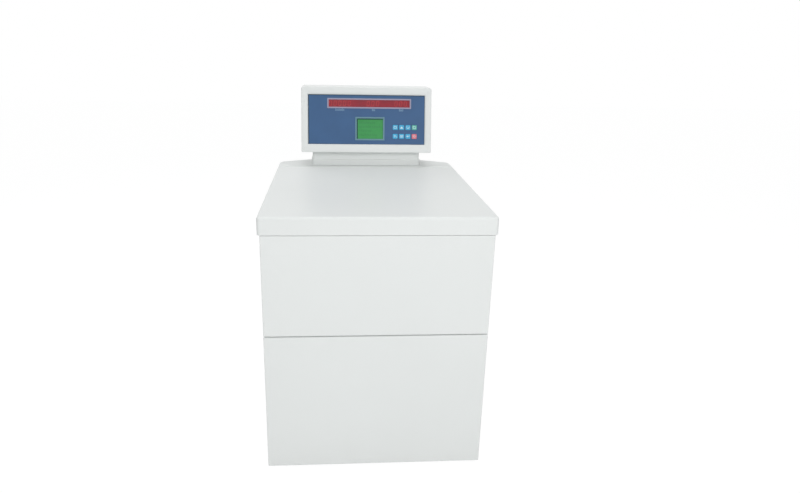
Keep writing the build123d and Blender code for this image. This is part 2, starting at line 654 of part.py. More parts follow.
def face_plane():
    """The tilted face's plane at the middle of the blue panel, looking out at the user."""
    lean = radians(HEAD_LEAN)
    z = HEAD_BASE_Z + HEAD_H / 2 + PANEL_RISE
    y = HEAD_FRONT + tan(lean) * (z - HEAD_BASE_Z)
    return Plane(origin=(0, y, z), x_dir=(1, 0, 0), z_dir=(0, -cos(lean), sin(lean)))


def on_face(u, v, width, height, low, high):
    """A block on the tilted face, from low to high along its outward normal."""
    return face_plane() * Pos(u, v, (low + high) / 2) * Box(width, height, high - low)


def head_shell():
    """The hollow rear housing, open at the front, where the bezel closes it."""
    shell = head_block(0, HEAD_R) - head_block(HEAD_WALL, 0)
    shell -= on_face(0, 0, HEAD_W * 2, HEAD_H * 2, -BEZEL_D, HEAD_H)
    low = HEAD_BASE_Z + HEAD_H * 0.55
    xs = [(i - (VENT_COUNT - 1) / 2) * VENT_PITCH for i in range(VENT_COUNT)]
    shell -= [block(x - VENT_W / 2, x + VENT_W / 2, HEAD_BACK - HEAD_WALL - 1, HEAD_BACK + 1,
                    low, low + HEAD_H / 4) for x in xs]
    return shell - block(-NECK_W / 4, NECK_W / 4, NECK_FRONT + NECK_R, NECK_FRONT + NECK_D - NECK_R,
                         HEAD_BASE_Z - 1, HEAD_BASE_Z + HEAD_WALL + 1)


def head_bezel():
    """The front frame, bevelled in towards the sunk panel."""
    frame = head_block(0, HEAD_R) & on_face(0, 0, HEAD_W * 2, HEAD_H * 2, -BEZEL_D + FIT, HEAD_H)
    frame = chamfer(frame.faces().sort_by(Axis.Y)[0].edges(), BEND_R / 2)
    frame -= on_face(0, 0, PANEL_W, PANEL_H, -BEZEL_D - 1, 1)
    mouth = face_plane() * Rectangle(PANEL_W + 2 * BEVEL, PANEL_H + 2 * BEVEL)
    foot = face_plane() * Pos(0, 0, -BEVEL) * Rectangle(PANEL_W, PANEL_H)
    return frame - loft([mouth, foot])


def panel_hole(u, v, width, height):
    return on_face(u, v, width, height, -PANEL_SET - PANEL_T - 1, 1)


def control_panel():
    """The blue plate, with windows for both displays and a hole for each key."""
    plate = on_face(0, 0, PANEL_W - 2 * FIT, PANEL_H - 2 * FIT, -PANEL_SET - PANEL_T, -PANEL_SET)
    plate -= panel_hole(LED_U, LED_V, LED_W, LED_H)
    plate -= panel_hole(LCD_U, LCD_V, LCD_W, LCD_H)
    plate -= [panel_hole(u, v, KEY_W, KEY_H) for u, v in key_places()]
    return plate


def key_places():
    return [(KEY_U + c * KEY_PITCH_U, KEY_V - r * KEY_PITCH_V)
            for r in range(KEY_ROWS) for c in range(KEY_COLUMNS)]


def panel_key(u, v):
    """A key cap with bevelled edges and a wider foot behind the plate."""
    cap = on_face(u, v, KEY_W - 2 * CLEAR, KEY_H - 2 * CLEAR, -PANEL_SET - PANEL_T,
                  -PANEL_SET + KEY_TRAVEL + KEY_PROUD)
    cap = chamfer(cap.faces().sort_by(Axis.Y)[0].edges(), KEY_EDGE)
    foot_top = -PANEL_SET - PANEL_T - CLEAR
    cap += on_face(u, v, KEY_W + 2 * KEY_LIP, KEY_H + 2 * KEY_LIP, foot_top - 2 * KEY_LIP, foot_top)
    return cap + on_face(u, v, KEY_W - 4 * KEY_LIP, KEY_H - 4 * KEY_LIP, foot_top, foot_top + KEY_LIP)


def led_display():
    """The red display module: a lens in a raised rim, with its digit block behind."""
    back = -PANEL_SET - PANEL_T
    lens = on_face(LED_U, LED_V, LED_W - 2 * FIT, LED_H - 2 * FIT, back, -PANEL_SET + RIM_RISE)
    lens -= on_face(LED_U, LED_V, LED_W - 2 * LED_RIM_U, LED_H - 2 * LED_RIM_V, -PANEL_SET - LENS_DROP, 1)
    return lens + on_face(LED_U, LED_V, LED_W - 2 * MODULE_EDGE, LED_H - 2 * MODULE_EDGE, board_top(), back)


def lcd_module():
    """The green screen in its raised frame, sunk below the frame's edge."""
    back = -PANEL_SET - PANEL_T
    frame = on_face(LCD_U, LCD_V, LCD_W - 2 * FIT, LCD_H - 2 * FIT, back, -PANEL_SET + RIM_RISE)
    frame -= on_face(LCD_U, LCD_V, LCD_W - 2 * LCD_FRAME, LCD_H - 2 * LCD_FRAME, -PANEL_SET - SCREEN_DROP, 1)
    return frame + on_face(LCD_U, LCD_V, LCD_W - 2 * MODULE_EDGE, LCD_H - 2 * MODULE_EDGE, board_top(), back)


def board_top():
    return -PANEL_SET - PANEL_T - BOARD_GAP


def head_board():
    """The display board, held off the panel's back by the two display modules."""
    return on_face(0, 0, PANEL_W - 2 * BOARD_EDGE, PANEL_H - 2 * BOARD_EDGE, board_top() - BOARD_T,
                   board_top())


def compressor():
    """The hermetic compressor: a pot with a sloped shoulder on a foot plate with rubber pads."""
    z0, z1 = TRAY_TOP + COMP_FOOT_Z, TRAY_TOP + COMP_H
    base = z0 + COMP_FOOT_T
    profile = Polyline((0, 0, base), (COMP_R, 0, base), (COMP_R, 0, z1 - COMP_DOME),
                       (COMP_R - COMP_DOME, 0, z1), (0, 0, z1), close=True)
    pot = Pos(COMP_X, COMP_Y, 0) * revolve(make_face(profile), Axis.Z)
    pot += block(COMP_X - COMP_R, COMP_X + COMP_R, COMP_Y - COMP_R, COMP_Y + COMP_R, z0, base)
    inset = COMP_R - COMP_PAD / 2
    pot += [Pos(COMP_X + x, COMP_Y + y, (TRAY_TOP + z0) / 2) * Box(COMP_PAD, COMP_PAD, COMP_FOOT_Z)
            for x in (-inset, inset) for y in (-inset, inset)]
    return pot + block(COMP_X, COMP_X + COMP_R + COMP_BOX_OUT, COMP_Y - COMP_BOX_W / 2,
                       COMP_Y + COMP_BOX_W / 2, z0 + COMP_BOX_H, z0 + 2 * COMP_BOX_H)


CONDENSER_Y1 = CAB_REAR - SHEET - CONDENSER_GAP
CONDENSER_Y0 = CONDENSER_Y1 - CONDENSER_D
CONDENSER_Z1 = TRAY_TOP + CONDENSER_H
FAN_Z = TRAY_TOP + CONDENSER_H / 2
FAN_Y = CONDENSER_Y0 - SHROUD_D / 2


def condenser():
    """The finned block at the back: fins between two end plates, with the tubes' ends bent."""
    half = CONDENSER_W / 2
    pitch = CONDENSER_W / CONDENSER_FINS
    core = block(-half, half, CONDENSER_Y0 + CORE_SET, CONDENSER_Y1 - CORE_SET, TRAY_TOP, CONDENSER_Z1)
    for i in range(CONDENSER_FINS + 1):
        x = -half + i * pitch
        x0, x1 = max(x - CONDENSER_FIN_T / 2, -half), min(x + CONDENSER_FIN_T / 2, half)
        core += block(x0, x1, CONDENSER_Y0, CONDENSER_Y1, TRAY_TOP, CONDENSER_Z1)
    return core


def fan_shroud():
    """The sheet duct in front of the condenser, with the fan motor on its three arms."""
    half = CONDENSER_W / 2
    y0, y1 = CONDENSER_Y0 - SHROUD_D, CONDENSER_Y0
    ring = FAN_R + FAN_TIP_GAP
    duct = block(-half, half, y0, y1, TRAY_TOP, CONDENSER_Z1)
    duct -= block(-half + SHROUD_T, half - SHROUD_T, y0 + SHROUD_T, y1 + 1,
                  TRAY_TOP + SHROUD_T, CONDENSER_Z1 - SHROUD_T)
    duct -= rod_y(ring, y0 - 1, y0 + SHROUD_T + 1, 0, FAN_Z)
    reach = ring + FAN_ARM
    motor_y1 = y0 - FAN_ARM_T
    spokes = [Pos(0, motor_y1 + FAN_ARM_T / 2, FAN_Z) * Rot(0, a, 0) * Pos(reach / 2, 0, 0)
              * Box(reach, FAN_ARM_T, FAN_ARM) for a in (90, 210, 330)]
    motor = rod_y(FAN_MOTOR_R, motor_y1 - FAN_MOTOR_L, motor_y1 + FAN_ARM_T, 0, FAN_Z)
    duct += spokes
    duct += motor
    return duct - rod_y(FAN_PIN_R + FIT, motor_y1 - FAN_MOTOR_L / 2, motor_y1 + FAN_ARM, 0, FAN_Z)


def condenser_fan():
    """A five-bladed fan on a hub, with its pin in the fan motor."""
    hub = Cylinder(FAN_HUB_R, FAN_HUB_L)
    blade = Pos((FAN_HUB_R + FAN_R) / 2 - BLADE_SINK, 0, 0) * Rot(BLADE_PITCH, 0, 0) \
        * Box(FAN_R - FAN_HUB_R, BLADE_W, BLADE_T)
    blade &= Cylinder(FAN_R, BLADE_W)
    for i in range(FAN_BLADES):
        hub += Rot(0, 0, i * 360 / FAN_BLADES) * blade
    hub = Pos(0, FAN_Y + FAN_SET, FAN_Z) * Rot(90, 0, 0) * hub
    y0 = CONDENSER_Y0 - SHROUD_D - FAN_MOTOR_L / 2
    return hub + rod_y(FAN_PIN_R, y0 + PIN_END_GAP, FAN_Y, 0, FAN_Z)


def pipe(*points):
    """A copper pipe along straight runs, mitred at its elbows."""
    path = Polyline(*points)
    start = Plane(origin=path @ 0, z_dir=path % 0)
    return sweep(start * Circle(PIPE_R), path=path, transition=Transition.RIGHT)


def refrigerant_lines():
    """The brazed circuit: discharge, liquid line with its drier, and suction."""
    top = TRAY_TOP + COMP_H
    port_y = (CONDENSER_Y0 + CONDENSER_Y1) / 2
    edge = CONDENSER_W / 2
    side = edge + PIPE_OUT
    over = CONDENSER_Z1 + 2 * PIPE_OUT
    discharge = pipe((COMP_X, COMP_Y, top), (COMP_X, COMP_Y, over), (PIPE_OUT - edge, port_y, over),
                     (PIPE_OUT - edge, port_y, CONDENSER_Z1 + FIT))
    low = TRAY_TOP + 2 * PIPE_OUT
    drier_y = CONDENSER_Y0 - 2 * PIPE_OUT
    drier_z = low + 2 * PIPE_OUT
    liquid = pipe((edge + FIT, port_y, low), (side, port_y, low), (side, drier_y, low),
                  (side, drier_y, drier_z))
    liquid += post(DRIER_R, drier_z, drier_z + DRIER_L, side, drier_y)
    chamber_x, chamber_y = GUARD_R * 0.7, CHAMBER_Y + 3 * PIPE_OUT
    under = RAIL_Z - 2 * PIPE_OUT
    liquid += pipe((side, drier_y, drier_z + DRIER_L), (side, drier_y, under), (chamber_x, chamber_y, under),
                   (chamber_x, chamber_y, GUARD_Z))
    suction_x, suction_y = COMP_X + PIPE_OUT, COMP_Y - 2 * PIPE_OUT
    suction = pipe((suction_x, suction_y, top), (suction_x, suction_y, under),
                   (-chamber_x, chamber_y, under), (-chamber_x, chamber_y, GUARD_Z))
    return group(discharge, liquid, suction)


def inverter_drive():
    """The motor drive: a cased block with a finned heat sink on its inner side."""
    x1 = POST_X + POST / 2
    x0 = x1 - DRIVE_W
    y0 = CHAMBER_Y - DRIVE_D / 2
    case = block(x0 + DRIVE_FIN_L, x1, y0, y0 + DRIVE_D, TRAY_TOP, TRAY_TOP + DRIVE_H)
    pitch = (DRIVE_D - DRIVE_FIN_T) / (DRIVE_FINS - 1)
    for i in range(DRIVE_FINS):
        y = y0 + i * pitch
        case += block(x0, x0 + DRIVE_FIN_L + 1, y, y + DRIVE_FIN_T, TRAY_TOP + 2 * DRIVE_FIN_T,
                      TRAY_TOP + DRIVE_H - 2 * DRIVE_FIN_T)
    return case


def power_board():
    """The tray on the left with the power board, transformer and capacitors."""
    x0 = -POST_X - POST / 2
    y0, y1 = CHAMBER_Y - BOARD_TRAY_D, CHAMBER_Y
    z0, z1 = TRAY_TOP, TRAY_TOP + BOARD_TRAY_H
    tray = block(x0, x0 + BOARD_TRAY_T, y0, y1, z0, z1)
    tray += block(x0, x0 + BOARD_TRAY_W, y0, y1, z0, z0 + BOARD_TRAY_T)
    face = x0 + BOARD_BLOCK_T
    edge = BOARD_TRAY_D / 20
    tray += block(x0, face, y0 + edge, y1 - edge, z0 + BOARD_TRAY_H / 3, z1 - edge)
    tray += block(x0, x0 + TRANSFORMER, y0 + edge, y0 + edge + TRANSFORMER, z0, z0 + TRANSFORMER)
    pitch = BOARD_TRAY_D / 3
    caps = [Pos(face + CAP_L / 2, y0 + (i + 1) * pitch, z0 + BOARD_TRAY_H * 0.6) * Rot(0, 90, 0)
            * Cylinder(CAP_R, CAP_L) for i in range(2)]
    return tray + caps


def switch_frame():
    """The mains switch's snap-in frame in the rear panel."""
    x0, x1 = SWITCH_X - SWITCH_W / 2, SWITCH_X + SWITCH_W / 2
    z0, z1 = SWITCH_Z - SWITCH_H / 2, SWITCH_Z + SWITCH_H / 2
    rim = SWITCH_RIM
    lip = block(x0 - rim, x1 + rim, CAB_REAR, CAB_REAR + SWITCH_LIP, z0 - rim, z1 + rim)
    can = block(x0 + CLEAR, x1 - CLEAR, CAB_REAR - SWITCH_D, CAB_REAR, z0 + CLEAR, z1 - CLEAR)
    return lip + can - block(x0 + rim, x1 - rim, CAB_REAR - SWITCH_D + rim, REAR_Y + 1, z0 + rim, z1 - rim)


def mains_rocker():
    """The rocker, which tips about the round rib across its back."""
    half_h = SWITCH_H / 2 - SWITCH_RIM - ROCKER_PIN_R / 2
    lean = tan(radians(ROCKER_THROW)) * half_h
    foot = ROCKER_PIN_R / 2
    front = CAB_REAR + SWITCH_LIP
    points = [(0, ROCKER_Y, SWITCH_Z - half_h / 2), (0, front - lean, SWITCH_Z - half_h),
              (0, front - lean / 2, SWITCH_Z), (0, front, SWITCH_Z + half_h),
              (0, ROCKER_Y, SWITCH_Z + half_h / 2), (0, ROCKER_Y, SWITCH_Z + foot),
              (0, ROCKER_Y, SWITCH_Z - foot)]
    half_w = SWITCH_W / 2 - SWITCH_RIM - CLEAR
    key = extrude(make_face(Polyline(*points, close=True)), 2 * half_w, dir=(1, 0, 0))
    return Pos(SWITCH_X - half_w, 0, 0) * key \
        + rod_x(ROCKER_PIN_R, SWITCH_X - half_w, SWITCH_X + half_w, ROCKER_Y, SWITCH_Z)


def cable_gland():
    """The snap-in gland for the supply lead, with a six-sided flange, bored through."""
    y0 = CAB_REAR - GLAND_L
    shank = Plane(origin=(GLAND_X, y0, SWITCH_Z), z_dir=(0, 1, 0)) * RegularPolygon(GLAND_R - FIT, 6)
    flange = Plane(origin=(GLAND_X, CAB_REAR, SWITCH_Z), z_dir=(0, 1, 0)) * RegularPolygon(GLAND_R * 1.3, 6)
    body = extrude(shank, GLAND_L) + extrude(flange, REAR_Y - CAB_REAR - CLEAR)
    return body - rod_y(GLAND_R / 2, y0 - 1, REAR_Y + 1, GLAND_X, SWITCH_Z)


def panel_screws():
    """The hexagon-headed screws of the rear panel, down both of its flat edges."""
    edge = CAB_W / 2 - REAR_CUT_W - 3 * SCREW_R
    screws = []
    for x in (-edge, edge):
        for z in (SKIRT_Z + SCREW_INSET, SEAM_Z, DECK_UNDER - SCREW_INSET):
            head = Plane(origin=(x, CAB_REAR, z), z_dir=(0, 1, 0)) * RegularPolygon(SCREW_R, 6)
            screws.append(extrude(head, SCREW_R / 2))
    return group(*screws)


def build():
    save(base_frame(), "base_frame")
    save(frame_posts(), "frame_posts")
    save(front_panel(SKIRT_Z, SEAM_Z - SEAM_GAP / 2), "front_panel_lower")
    save(front_panel(SEAM_Z + SEAM_GAP / 2, DECK_Z), "front_panel_upper")
    save(side_panel(-1), "side_panel_left")
    save(side_panel(1), "side_panel_right")
    save(rear_panel(), "rear_panel")
    save(panel_screws(), "panel_screws")
    save(top_deck(), "top_deck")
    save(rear_deck(), "rear_deck")
    save(chamber_bowl(), "chamber_bowl")
    save(evaporator_coil(), "evaporator_coil")
    save(chamber_insulation(), "chamber_insulation")
    save(guard_drum(), "guard_drum")
    save(chamber_gasket(), "chamber_gasket")
    save(spindle_seal(), "spindle_seal")
    save(motor_housing(), "motor_housing")
    save(motor_plate(), "motor_plate")
    save(motor_dampers(), "motor_dampers")
    save(spindle(), "spindle")
    save(rotor_body(), "rotor_body")
    save(rotor_nut(), "rotor_nut")
    save(compressor(), "compressor")
    save(condenser(), "condenser")
    save(fan_shroud(), "fan_shroud")
    save(condenser_fan(), "condenser_fan")
    save(refrigerant_lines(), "refrigerant_lines")
    save(inverter_drive(), "inverter_drive")
    save(power_board(), "power_board")
    save(switch_frame(), "switch_frame")
    save(mains_rocker(), "mains_rocker")
    save(cable_gland(), "cable_gland")
    save(lid_skin(), "lid_skin")
    save(lid_liner(), "lid_liner")
    save(lid_striker(), "lid_striker")
    save(hinge_brackets(), "hinge_brackets")
    save(hinge_ears(), "hinge_ears")
    save(hinge_pins(), "hinge_pins")
    save(lock_body(), "lock_body")
    save(lock_bolt(), "lock_bolt")
    save(neck(), "neck")
    save(head_shell(), "head_shell")
    save(head_bezel(), "head_bezel")
    save(control_panel(), "control_panel")
    save(led_display(), "led_display")
    save(lcd_module(), "lcd_module")
    save(head_board(), "head_board")
    for i, (u, v) in enumerate(key_places()):
        save(panel_key(u, v), f"key_{i + 1}")
    for i, (x, y) in enumerate(foot_places()):
        save(levelling_foot(x, y), f"levelling_foot_{i + 1}")


build()
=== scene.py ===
import json
from math import cos, pi, radians, sin, tan

import bmesh
import bpy
from mathutils import Matrix, Vector


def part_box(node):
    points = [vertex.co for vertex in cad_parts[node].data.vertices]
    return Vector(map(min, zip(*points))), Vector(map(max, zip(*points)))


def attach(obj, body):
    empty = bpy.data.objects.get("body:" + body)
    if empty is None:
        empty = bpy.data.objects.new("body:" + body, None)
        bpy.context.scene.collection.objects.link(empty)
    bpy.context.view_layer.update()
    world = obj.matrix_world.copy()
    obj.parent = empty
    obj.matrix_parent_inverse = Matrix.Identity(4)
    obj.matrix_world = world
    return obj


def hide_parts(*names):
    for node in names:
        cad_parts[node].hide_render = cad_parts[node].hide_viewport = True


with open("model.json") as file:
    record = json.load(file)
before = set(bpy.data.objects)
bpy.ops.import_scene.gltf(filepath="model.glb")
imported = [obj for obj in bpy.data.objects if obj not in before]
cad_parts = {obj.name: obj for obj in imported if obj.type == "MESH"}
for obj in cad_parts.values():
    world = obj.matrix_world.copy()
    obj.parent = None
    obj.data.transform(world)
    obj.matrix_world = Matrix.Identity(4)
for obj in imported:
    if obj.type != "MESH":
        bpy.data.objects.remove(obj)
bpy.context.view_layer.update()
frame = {"nodes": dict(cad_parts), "record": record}

MM = 0.001

# Sheet metal
SHEET = 1.5 * MM
LID_BEND = 8 * MM
LID_CORNER, LID_BACK_CORNER = 12 * MM, 2 * MM
LID_CROWN, LID_CROWN_REACH = 0.6 * MM, 60 * MM
LID_GAP_CLOSED = 2 * MM
BEND_HOLD, BEND_INNER_SHARE = 3 * MM, 0.6
DOOR_BEND, DOOR_HOLD, DOOR_CORNER = 3 * MM, 2 * MM, 2.5 * MM
REAR_CUT_W, REAR_CUT_D, REAR_CUT_ROUND = 120 * MM, 60 * MM, 34 * MM
HINGE_HALF = 8.3 * MM
HINGE_NOTCH_W, HINGE_NOTCH_D, HINGE_NOTCH_Z = 20 * MM, 9 * MM, 50.8 * MM
NECK_FOOT_H, NECK_FOOT_OUT = 24 * MM, 4 * MM
NECK_CORNER, NECK_WALL = 14 * MM, 3 * MM
NECK_SHOULDER, NECK_FILLET_W, NECK_FILLET_H = 1.2 * MM, 0.5 * MM, 0.8 * MM
WELD = 0.005 * MM
SHARP_RADIUS, SHARP_ANGLE = 0.2 * MM, radians(32)

# Control head, on its tilted face from the middle of the blue panel
LEAN = radians(12)
PANEL_RISE, PANEL_SET, PANEL_T = 1.5 * MM, 5 * MM, 3 * MM
PANEL_W, PANEL_H = 473 * MM, 198 * MM
FRAME_D, FRAME_BEND, BEVEL = 22 * MM, 3 * MM, 4 * MM
HEAD_CORNERS = [5 * MM, 5 * MM, 11 * MM, 9 * MM]
MOUTH_CORNER = 4 * MM
MOUTH_PROFILE = [(-0.6 * MM, 0), (0.3 * MM, -0.5 * MM), (BEVEL - 0.3 * MM, 0.3 * MM - BEVEL),
                 (BEVEL, -BEVEL - 0.4 * MM), (BEVEL, -FRAME_D)]
RIM_EDGE, RIM_OUTER_CORNER, RIM_INNER_CORNER = 0.4 * MM, 2 * MM, 1.5 * MM
SLAB_CORNER = 0.5 * MM
PRINT_T = 0.05 * MM

# Red window
LED_U, LED_V, LED_W, LED_H, LED_RIM = 10.5 * MM, 64.8 * MM, 340 * MM, 40 * MM, 5.5 * MM
LED_PROUD, LED_SINK, LED_DEPTH = 1.6 * MM, 0.4 * MM, 2 * MM
DIGIT_W, DIGIT_H, DIGIT_BAR, DIGIT_PITCH = 9.5 * MM, 18 * MM, 2 * MM, 19 * MM
DIGIT_T, DIGIT_LEAN, DIGIT_TRIM = 0.08 * MM, 0.1, 0.75
DIGIT_GROUPS = ((-119 * MM, 5), (14.5 * MM, 3), (127.5 * MM, 3))

# Green screen
LCD_U, LCD_V, LCD_W, LCD_H, LCD_RIM = 13.1 * MM, -35.8 * MM, 119 * MM, 93.5 * MM, 6 * MM
LCD_PROUD, LCD_SINK, LCD_WELL_RISE, LCD_WELL_T, LCD_GLASS_T = 1.4 * MM, 5 * MM, 0.5 * MM, 1 * MM, 0.6 * MM
# The glass stops short at the left and top, so the dark plate beneath shows there as painted shade.
LCD_SHADE_LEFT, LCD_SHADE_TOP = 5 * MM, 4 * MM
LCD_ROWS, LCD_ROW_PITCH = (9, 12, 7, 10), 16 * MM
LCD_FIGURE_PITCH, LCD_FIGURE_START = 7.4 * MM, 1.7
LCD_FIGURE_W, LCD_FIGURE_H, LCD_FIGURE_BAR = 3.2 * MM, 6.4 * MM, 0.9 * MM

# Keys
KEY_COUNT, KEY_ROW = 8, 4
KEY_U, KEY_V, KEY_W, KEY_H = 116.5 * MM, -29.7 * MM, 20.4 * MM, 19.4 * MM
KEY_PITCH_U, KEY_PITCH_V = 26 * MM, 35.8 * MM
KEY_PROUD, KEY_DEPTH, KEY_BEND, KEY_CORNER = 1.4 * MM, 2.6 * MM, 1.1 * MM, 3 * MM
KEY_CROWN, KEY_CROWN_REACH = 0.1 * MM, 4 * MM
KEY_SLOTS = {3: "key_green", 7: "key_red"}
SIGN_REACH_U, SIGN_REACH_V, SIGN_BAR, SIGN_PROUD = 5.2 * MM, 3.8 * MM, 1.5 * MM, 0.22 * MM

# Marks printed on the blue overlay, and painted shade along its edges where the sunk panel's recess throws
# shadow
MARK_PLACES = ((-109 * MM, 36 * MM), (27.5 * MM, 14 * MM), (140 * MM, 18 * MM))
MARK_V, MARK_H, MARK_BAR, MARK_PITCH = 39.4 * MM, 7 * MM, 2.4 * MM, 4.6 * MM
MARK_T, MARK_SHORT, MARK_TALL_EVERY = 0.06 * MM, 0.68, 3
RECESS_SHADE_LEFT, RECESS_SHADE_TOP, RECESS_SHADE_THIN = 4 * MM, 3.2 * MM, 1.4 * MM

# Colours, as the eye reads them in daylight (linear)
PAINT_WHITE = (0.795, 0.815, 0.805)
PAINT_SHADE = (0.60, 0.62, 0.62)
# Edge colour of the white paint: rubbed paint and a painted highlight.
PAINT_WORN_AND_HIGHLIT = (0.90, 0.90, 0.885)
DUST = (0.46, 0.44, 0.40)
PANEL_BLUE = (0.044, 0.118, 0.262)
LENS_RED = (0.30, 0.006, 0.020)
LENS_DARK = (0.16, 0.008, 0.018)
FIGURE_RED = (0.46, 0.05, 0.05)
# Painted shade: the shadow of the blue panel's recess along its edges.
RECESS_SHADE_COLOUR = (0.018, 0.045, 0.075)
# Painted shade: the shadow of the green screen's rim, on the plate beside the glass.
WELL_SHADE_COLOUR = (0.012, 0.085, 0.06)
SCREEN_GREEN = (0.020, 0.23, 0.050)
SCREEN_PALE = (0.040, 0.28, 0.075)
SCREEN_INK = (0.02, 0.16, 0.06)
KEY_BLUE = (0.07, 0.44, 0.73)
KEY_GREEN = (0.12, 0.50, 0.42)
KEY_RED = (0.76, 0.21, 0.27)
KEY_INK = (0.72, 0.90, 0.96)
FRAME_PALE = (0.36, 0.34, 0.46)
FRAME_TEAL = (0.13, 0.27, 0.34)
LEGEND_PALE = (0.22, 0.36, 0.52)
STEEL = (0.62, 0.62, 0.61)
ZINC = (0.50, 0.52, 0.53)
ALLOY = (0.70, 0.71, 0.72)
COPPER = (0.72, 0.36, 0.20)
ENAMEL_GREY = (0.16, 0.17, 0.18)
ENAMEL_GREY_SHADE = (0.10, 0.105, 0.11)
ENAMEL_BLACK = (0.018, 0.018, 0.02)
ENAMEL_BLACK_SHADE = (0.01, 0.01, 0.01)
RUBBER = (0.028, 0.028, 0.028)
FOAM = (0.72, 0.62, 0.36)
BOARD_GREEN = (0.02, 0.14, 0.06)
PLASTIC_GREY = (0.13, 0.135, 0.145)
PLASTIC_BLACK = (0.02, 0.02, 0.022)


# Node groups

def add_node(tree, kind, **settings):
    node = tree.nodes.new(kind)
    for key, value in settings.items():
        setattr(node, key, value)
    return node


def feed(tree, value, socket):
    """Joins an output to an input, or sets a plain number or colour on it."""
    if hasattr(value, "is_linked"):
        tree.links.new(value, socket)
    elif isinstance(value, tuple):
        socket.default_value = (*value, 1)
    else:
        socket.default_value = value


def math_node(tree, operation, a, b, clamp=False):
    node = add_node(tree, "ShaderNodeMath", operation=operation, use_clamp=clamp)
    feed(tree, a, node.inputs[0])
    feed(tree, b, node.inputs[1])
    return node.outputs[0]


def mix_colour(tree, factor, a, b):
    node = add_node(tree, "ShaderNodeMix", data_type="RGBA")
    for value, index in ((factor, 0), (a, 6), (b, 7)):
        feed(tree, value, node.inputs[index])
    return node.outputs[2]


def noise(tree, scale, detail=2.0, stretch=(1, 1, 1), rough=0.5):
    """Noise fixed to the part, in object space. The stretch scales its axes."""
    where = add_node(tree, "ShaderNodeTexCoord")
    mapping = add_node(tree, "ShaderNodeMapping")
    mapping.inputs["Scale"].default_value = stretch
    texture = add_node(tree, "ShaderNodeTexNoise")
    tree.links.new(where.outputs["Object"], mapping.inputs["Vector"])
    tree.links.new(mapping.outputs["Vector"], texture.inputs["Vector"])
    feed(tree, scale, texture.inputs["Scale"])
    feed(tree, detail, texture.inputs["Detail"])
    feed(tree, rough, texture.inputs["Roughness"])
    return texture.outputs["Fac"]


def new_group(name, inputs, outputs):
    """A shader group with named sockets: (name, kind, default) for inputs, (name, kind) for outputs."""
    group = bpy.data.node_groups.new(name, "ShaderNodeTree")
    for label, kind, default in inputs:
        socket = group.interface.new_socket(name=label, in_out="INPUT", socket_type=kind)
        socket.default_value = default
    for label, kind in outputs:
        group.interface.new_socket(name=label, in_out="OUTPUT", socket_type=kind)
    return group, group.nodes.new("NodeGroupInput"), group.nodes.new("NodeGroupOutput")


def edge_wear_and_highlight_group():
    """Where an outside edge is: 1 on the edge, 0 on the flat, broken up by noise; materials lighten edges
    with it as a painted highlight.
    """
    group, inside, out = new_group("rubbed_and_highlit_edges", [("Width", "NodeSocketFloat", 0.002),
                                                    ("Amount", "NodeSocketFloat", 1.0)],
                                   [("Mask", "NodeSocketFloat")])
    bevel = add_node(group, "ShaderNodeBevel", samples=4)
    geometry = add_node(group, "ShaderNodeNewGeometry")
    dot = add_node(group, "ShaderNodeVectorMath", operation="DOT_PRODUCT")
    group.links.new(inside.outputs["Width"], bevel.inputs["Radius"])
    group.links.new(bevel.outputs["Normal"], dot.inputs[0])
    group.links.new(geometry.outputs["Normal"], dot.inputs[1])
    edge = math_node(group, "SUBTRACT", 1.0, dot.outputs["Value"], clamp=True)
    broken = math_node(group, "MULTIPLY", edge, noise(group, scale=60.0, detail=3.0))
    strong = math_node(group, "MULTIPLY", broken, 9.0)
    scaled = math_node(group, "MULTIPLY", strong, inside.outputs["Amount"], clamp=True)
    group.links.new(scaled, out.inputs["Mask"])
    return group


def grain_group():
    """Fine grain for bump, and a slow drift of shine round a base roughness."""
    group, inside, out = new_group("fine_grain", [("Scale", "NodeSocketFloat", 900.0),
                                                  ("Height", "NodeSocketFloat", 1.0),
                                                  ("Base Roughness", "NodeSocketFloat", 0.4),
                                                  ("Spread", "NodeSocketFloat", 0.06)],
                                   [("Height", "NodeSocketFloat"), ("Roughness", "NodeSocketFloat")])
    fine = noise(group, inside.outputs["Scale"])
    group.links.new(math_node(group, "MULTIPLY", fine, inside.outputs["Height"]), out.inputs["Height"])
    drift = math_node(group, "SUBTRACT", noise(group, scale=7.0, detail=4.0), 0.5)
    shift = math_node(group, "MULTIPLY", drift, inside.outputs["Spread"])
    twice = math_node(group, "MULTIPLY", shift, 2.0)
    total = math_node(group, "ADD", inside.outputs["Base Roughness"], twice, clamp=True)
    group.links.new(total, out.inputs["Roughness"])
    return group


def dust_group():
    """Dust that gathers in soft patches, most of it low down."""
    group, inside, out = new_group("settled_dust", [("Colour", "NodeSocketColor", (0.8, 0.8, 0.8, 1)),
                                                    ("Dust", "NodeSocketColor", (*DUST, 1)),
                                                    ("Amount", "NodeSocketFloat", 0.1),
                                                    ("Reach", "NodeSocketFloat", 0.25)],
                                   [("Colour", "NodeSocketColor")])
    geometry = add_node(group, "ShaderNodeNewGeometry")
    split = add_node(group, "ShaderNodeSeparateXYZ")
    group.links.new(geometry.outputs["Position"], split.inputs[0])
    share = math_node(group, "DIVIDE", split.outputs["Z"], inside.outputs["Reach"])
    low = math_node(group, "SUBTRACT", 1.0, share, clamp=True)
    low_down = math_node(group, "POWER", low, 2.0)
    patch = math_node(group, "MULTIPLY", low_down, noise(group, scale=9.0, detail=5.0, rough=0.6))
    speck = math_node(group, "MULTIPLY", noise(group, scale=3.2, detail=6.0, rough=0.65), 0.25)
    both = math_node(group, "ADD", patch, speck)
    mask = math_node(group, "MULTIPLY", both, inside.outputs["Amount"], clamp=True)
    dusty = mix_colour(group, mask, inside.outputs["Colour"], inside.outputs["Dust"])
    group.links.new(dusty, out.inputs["Colour"])
    return group


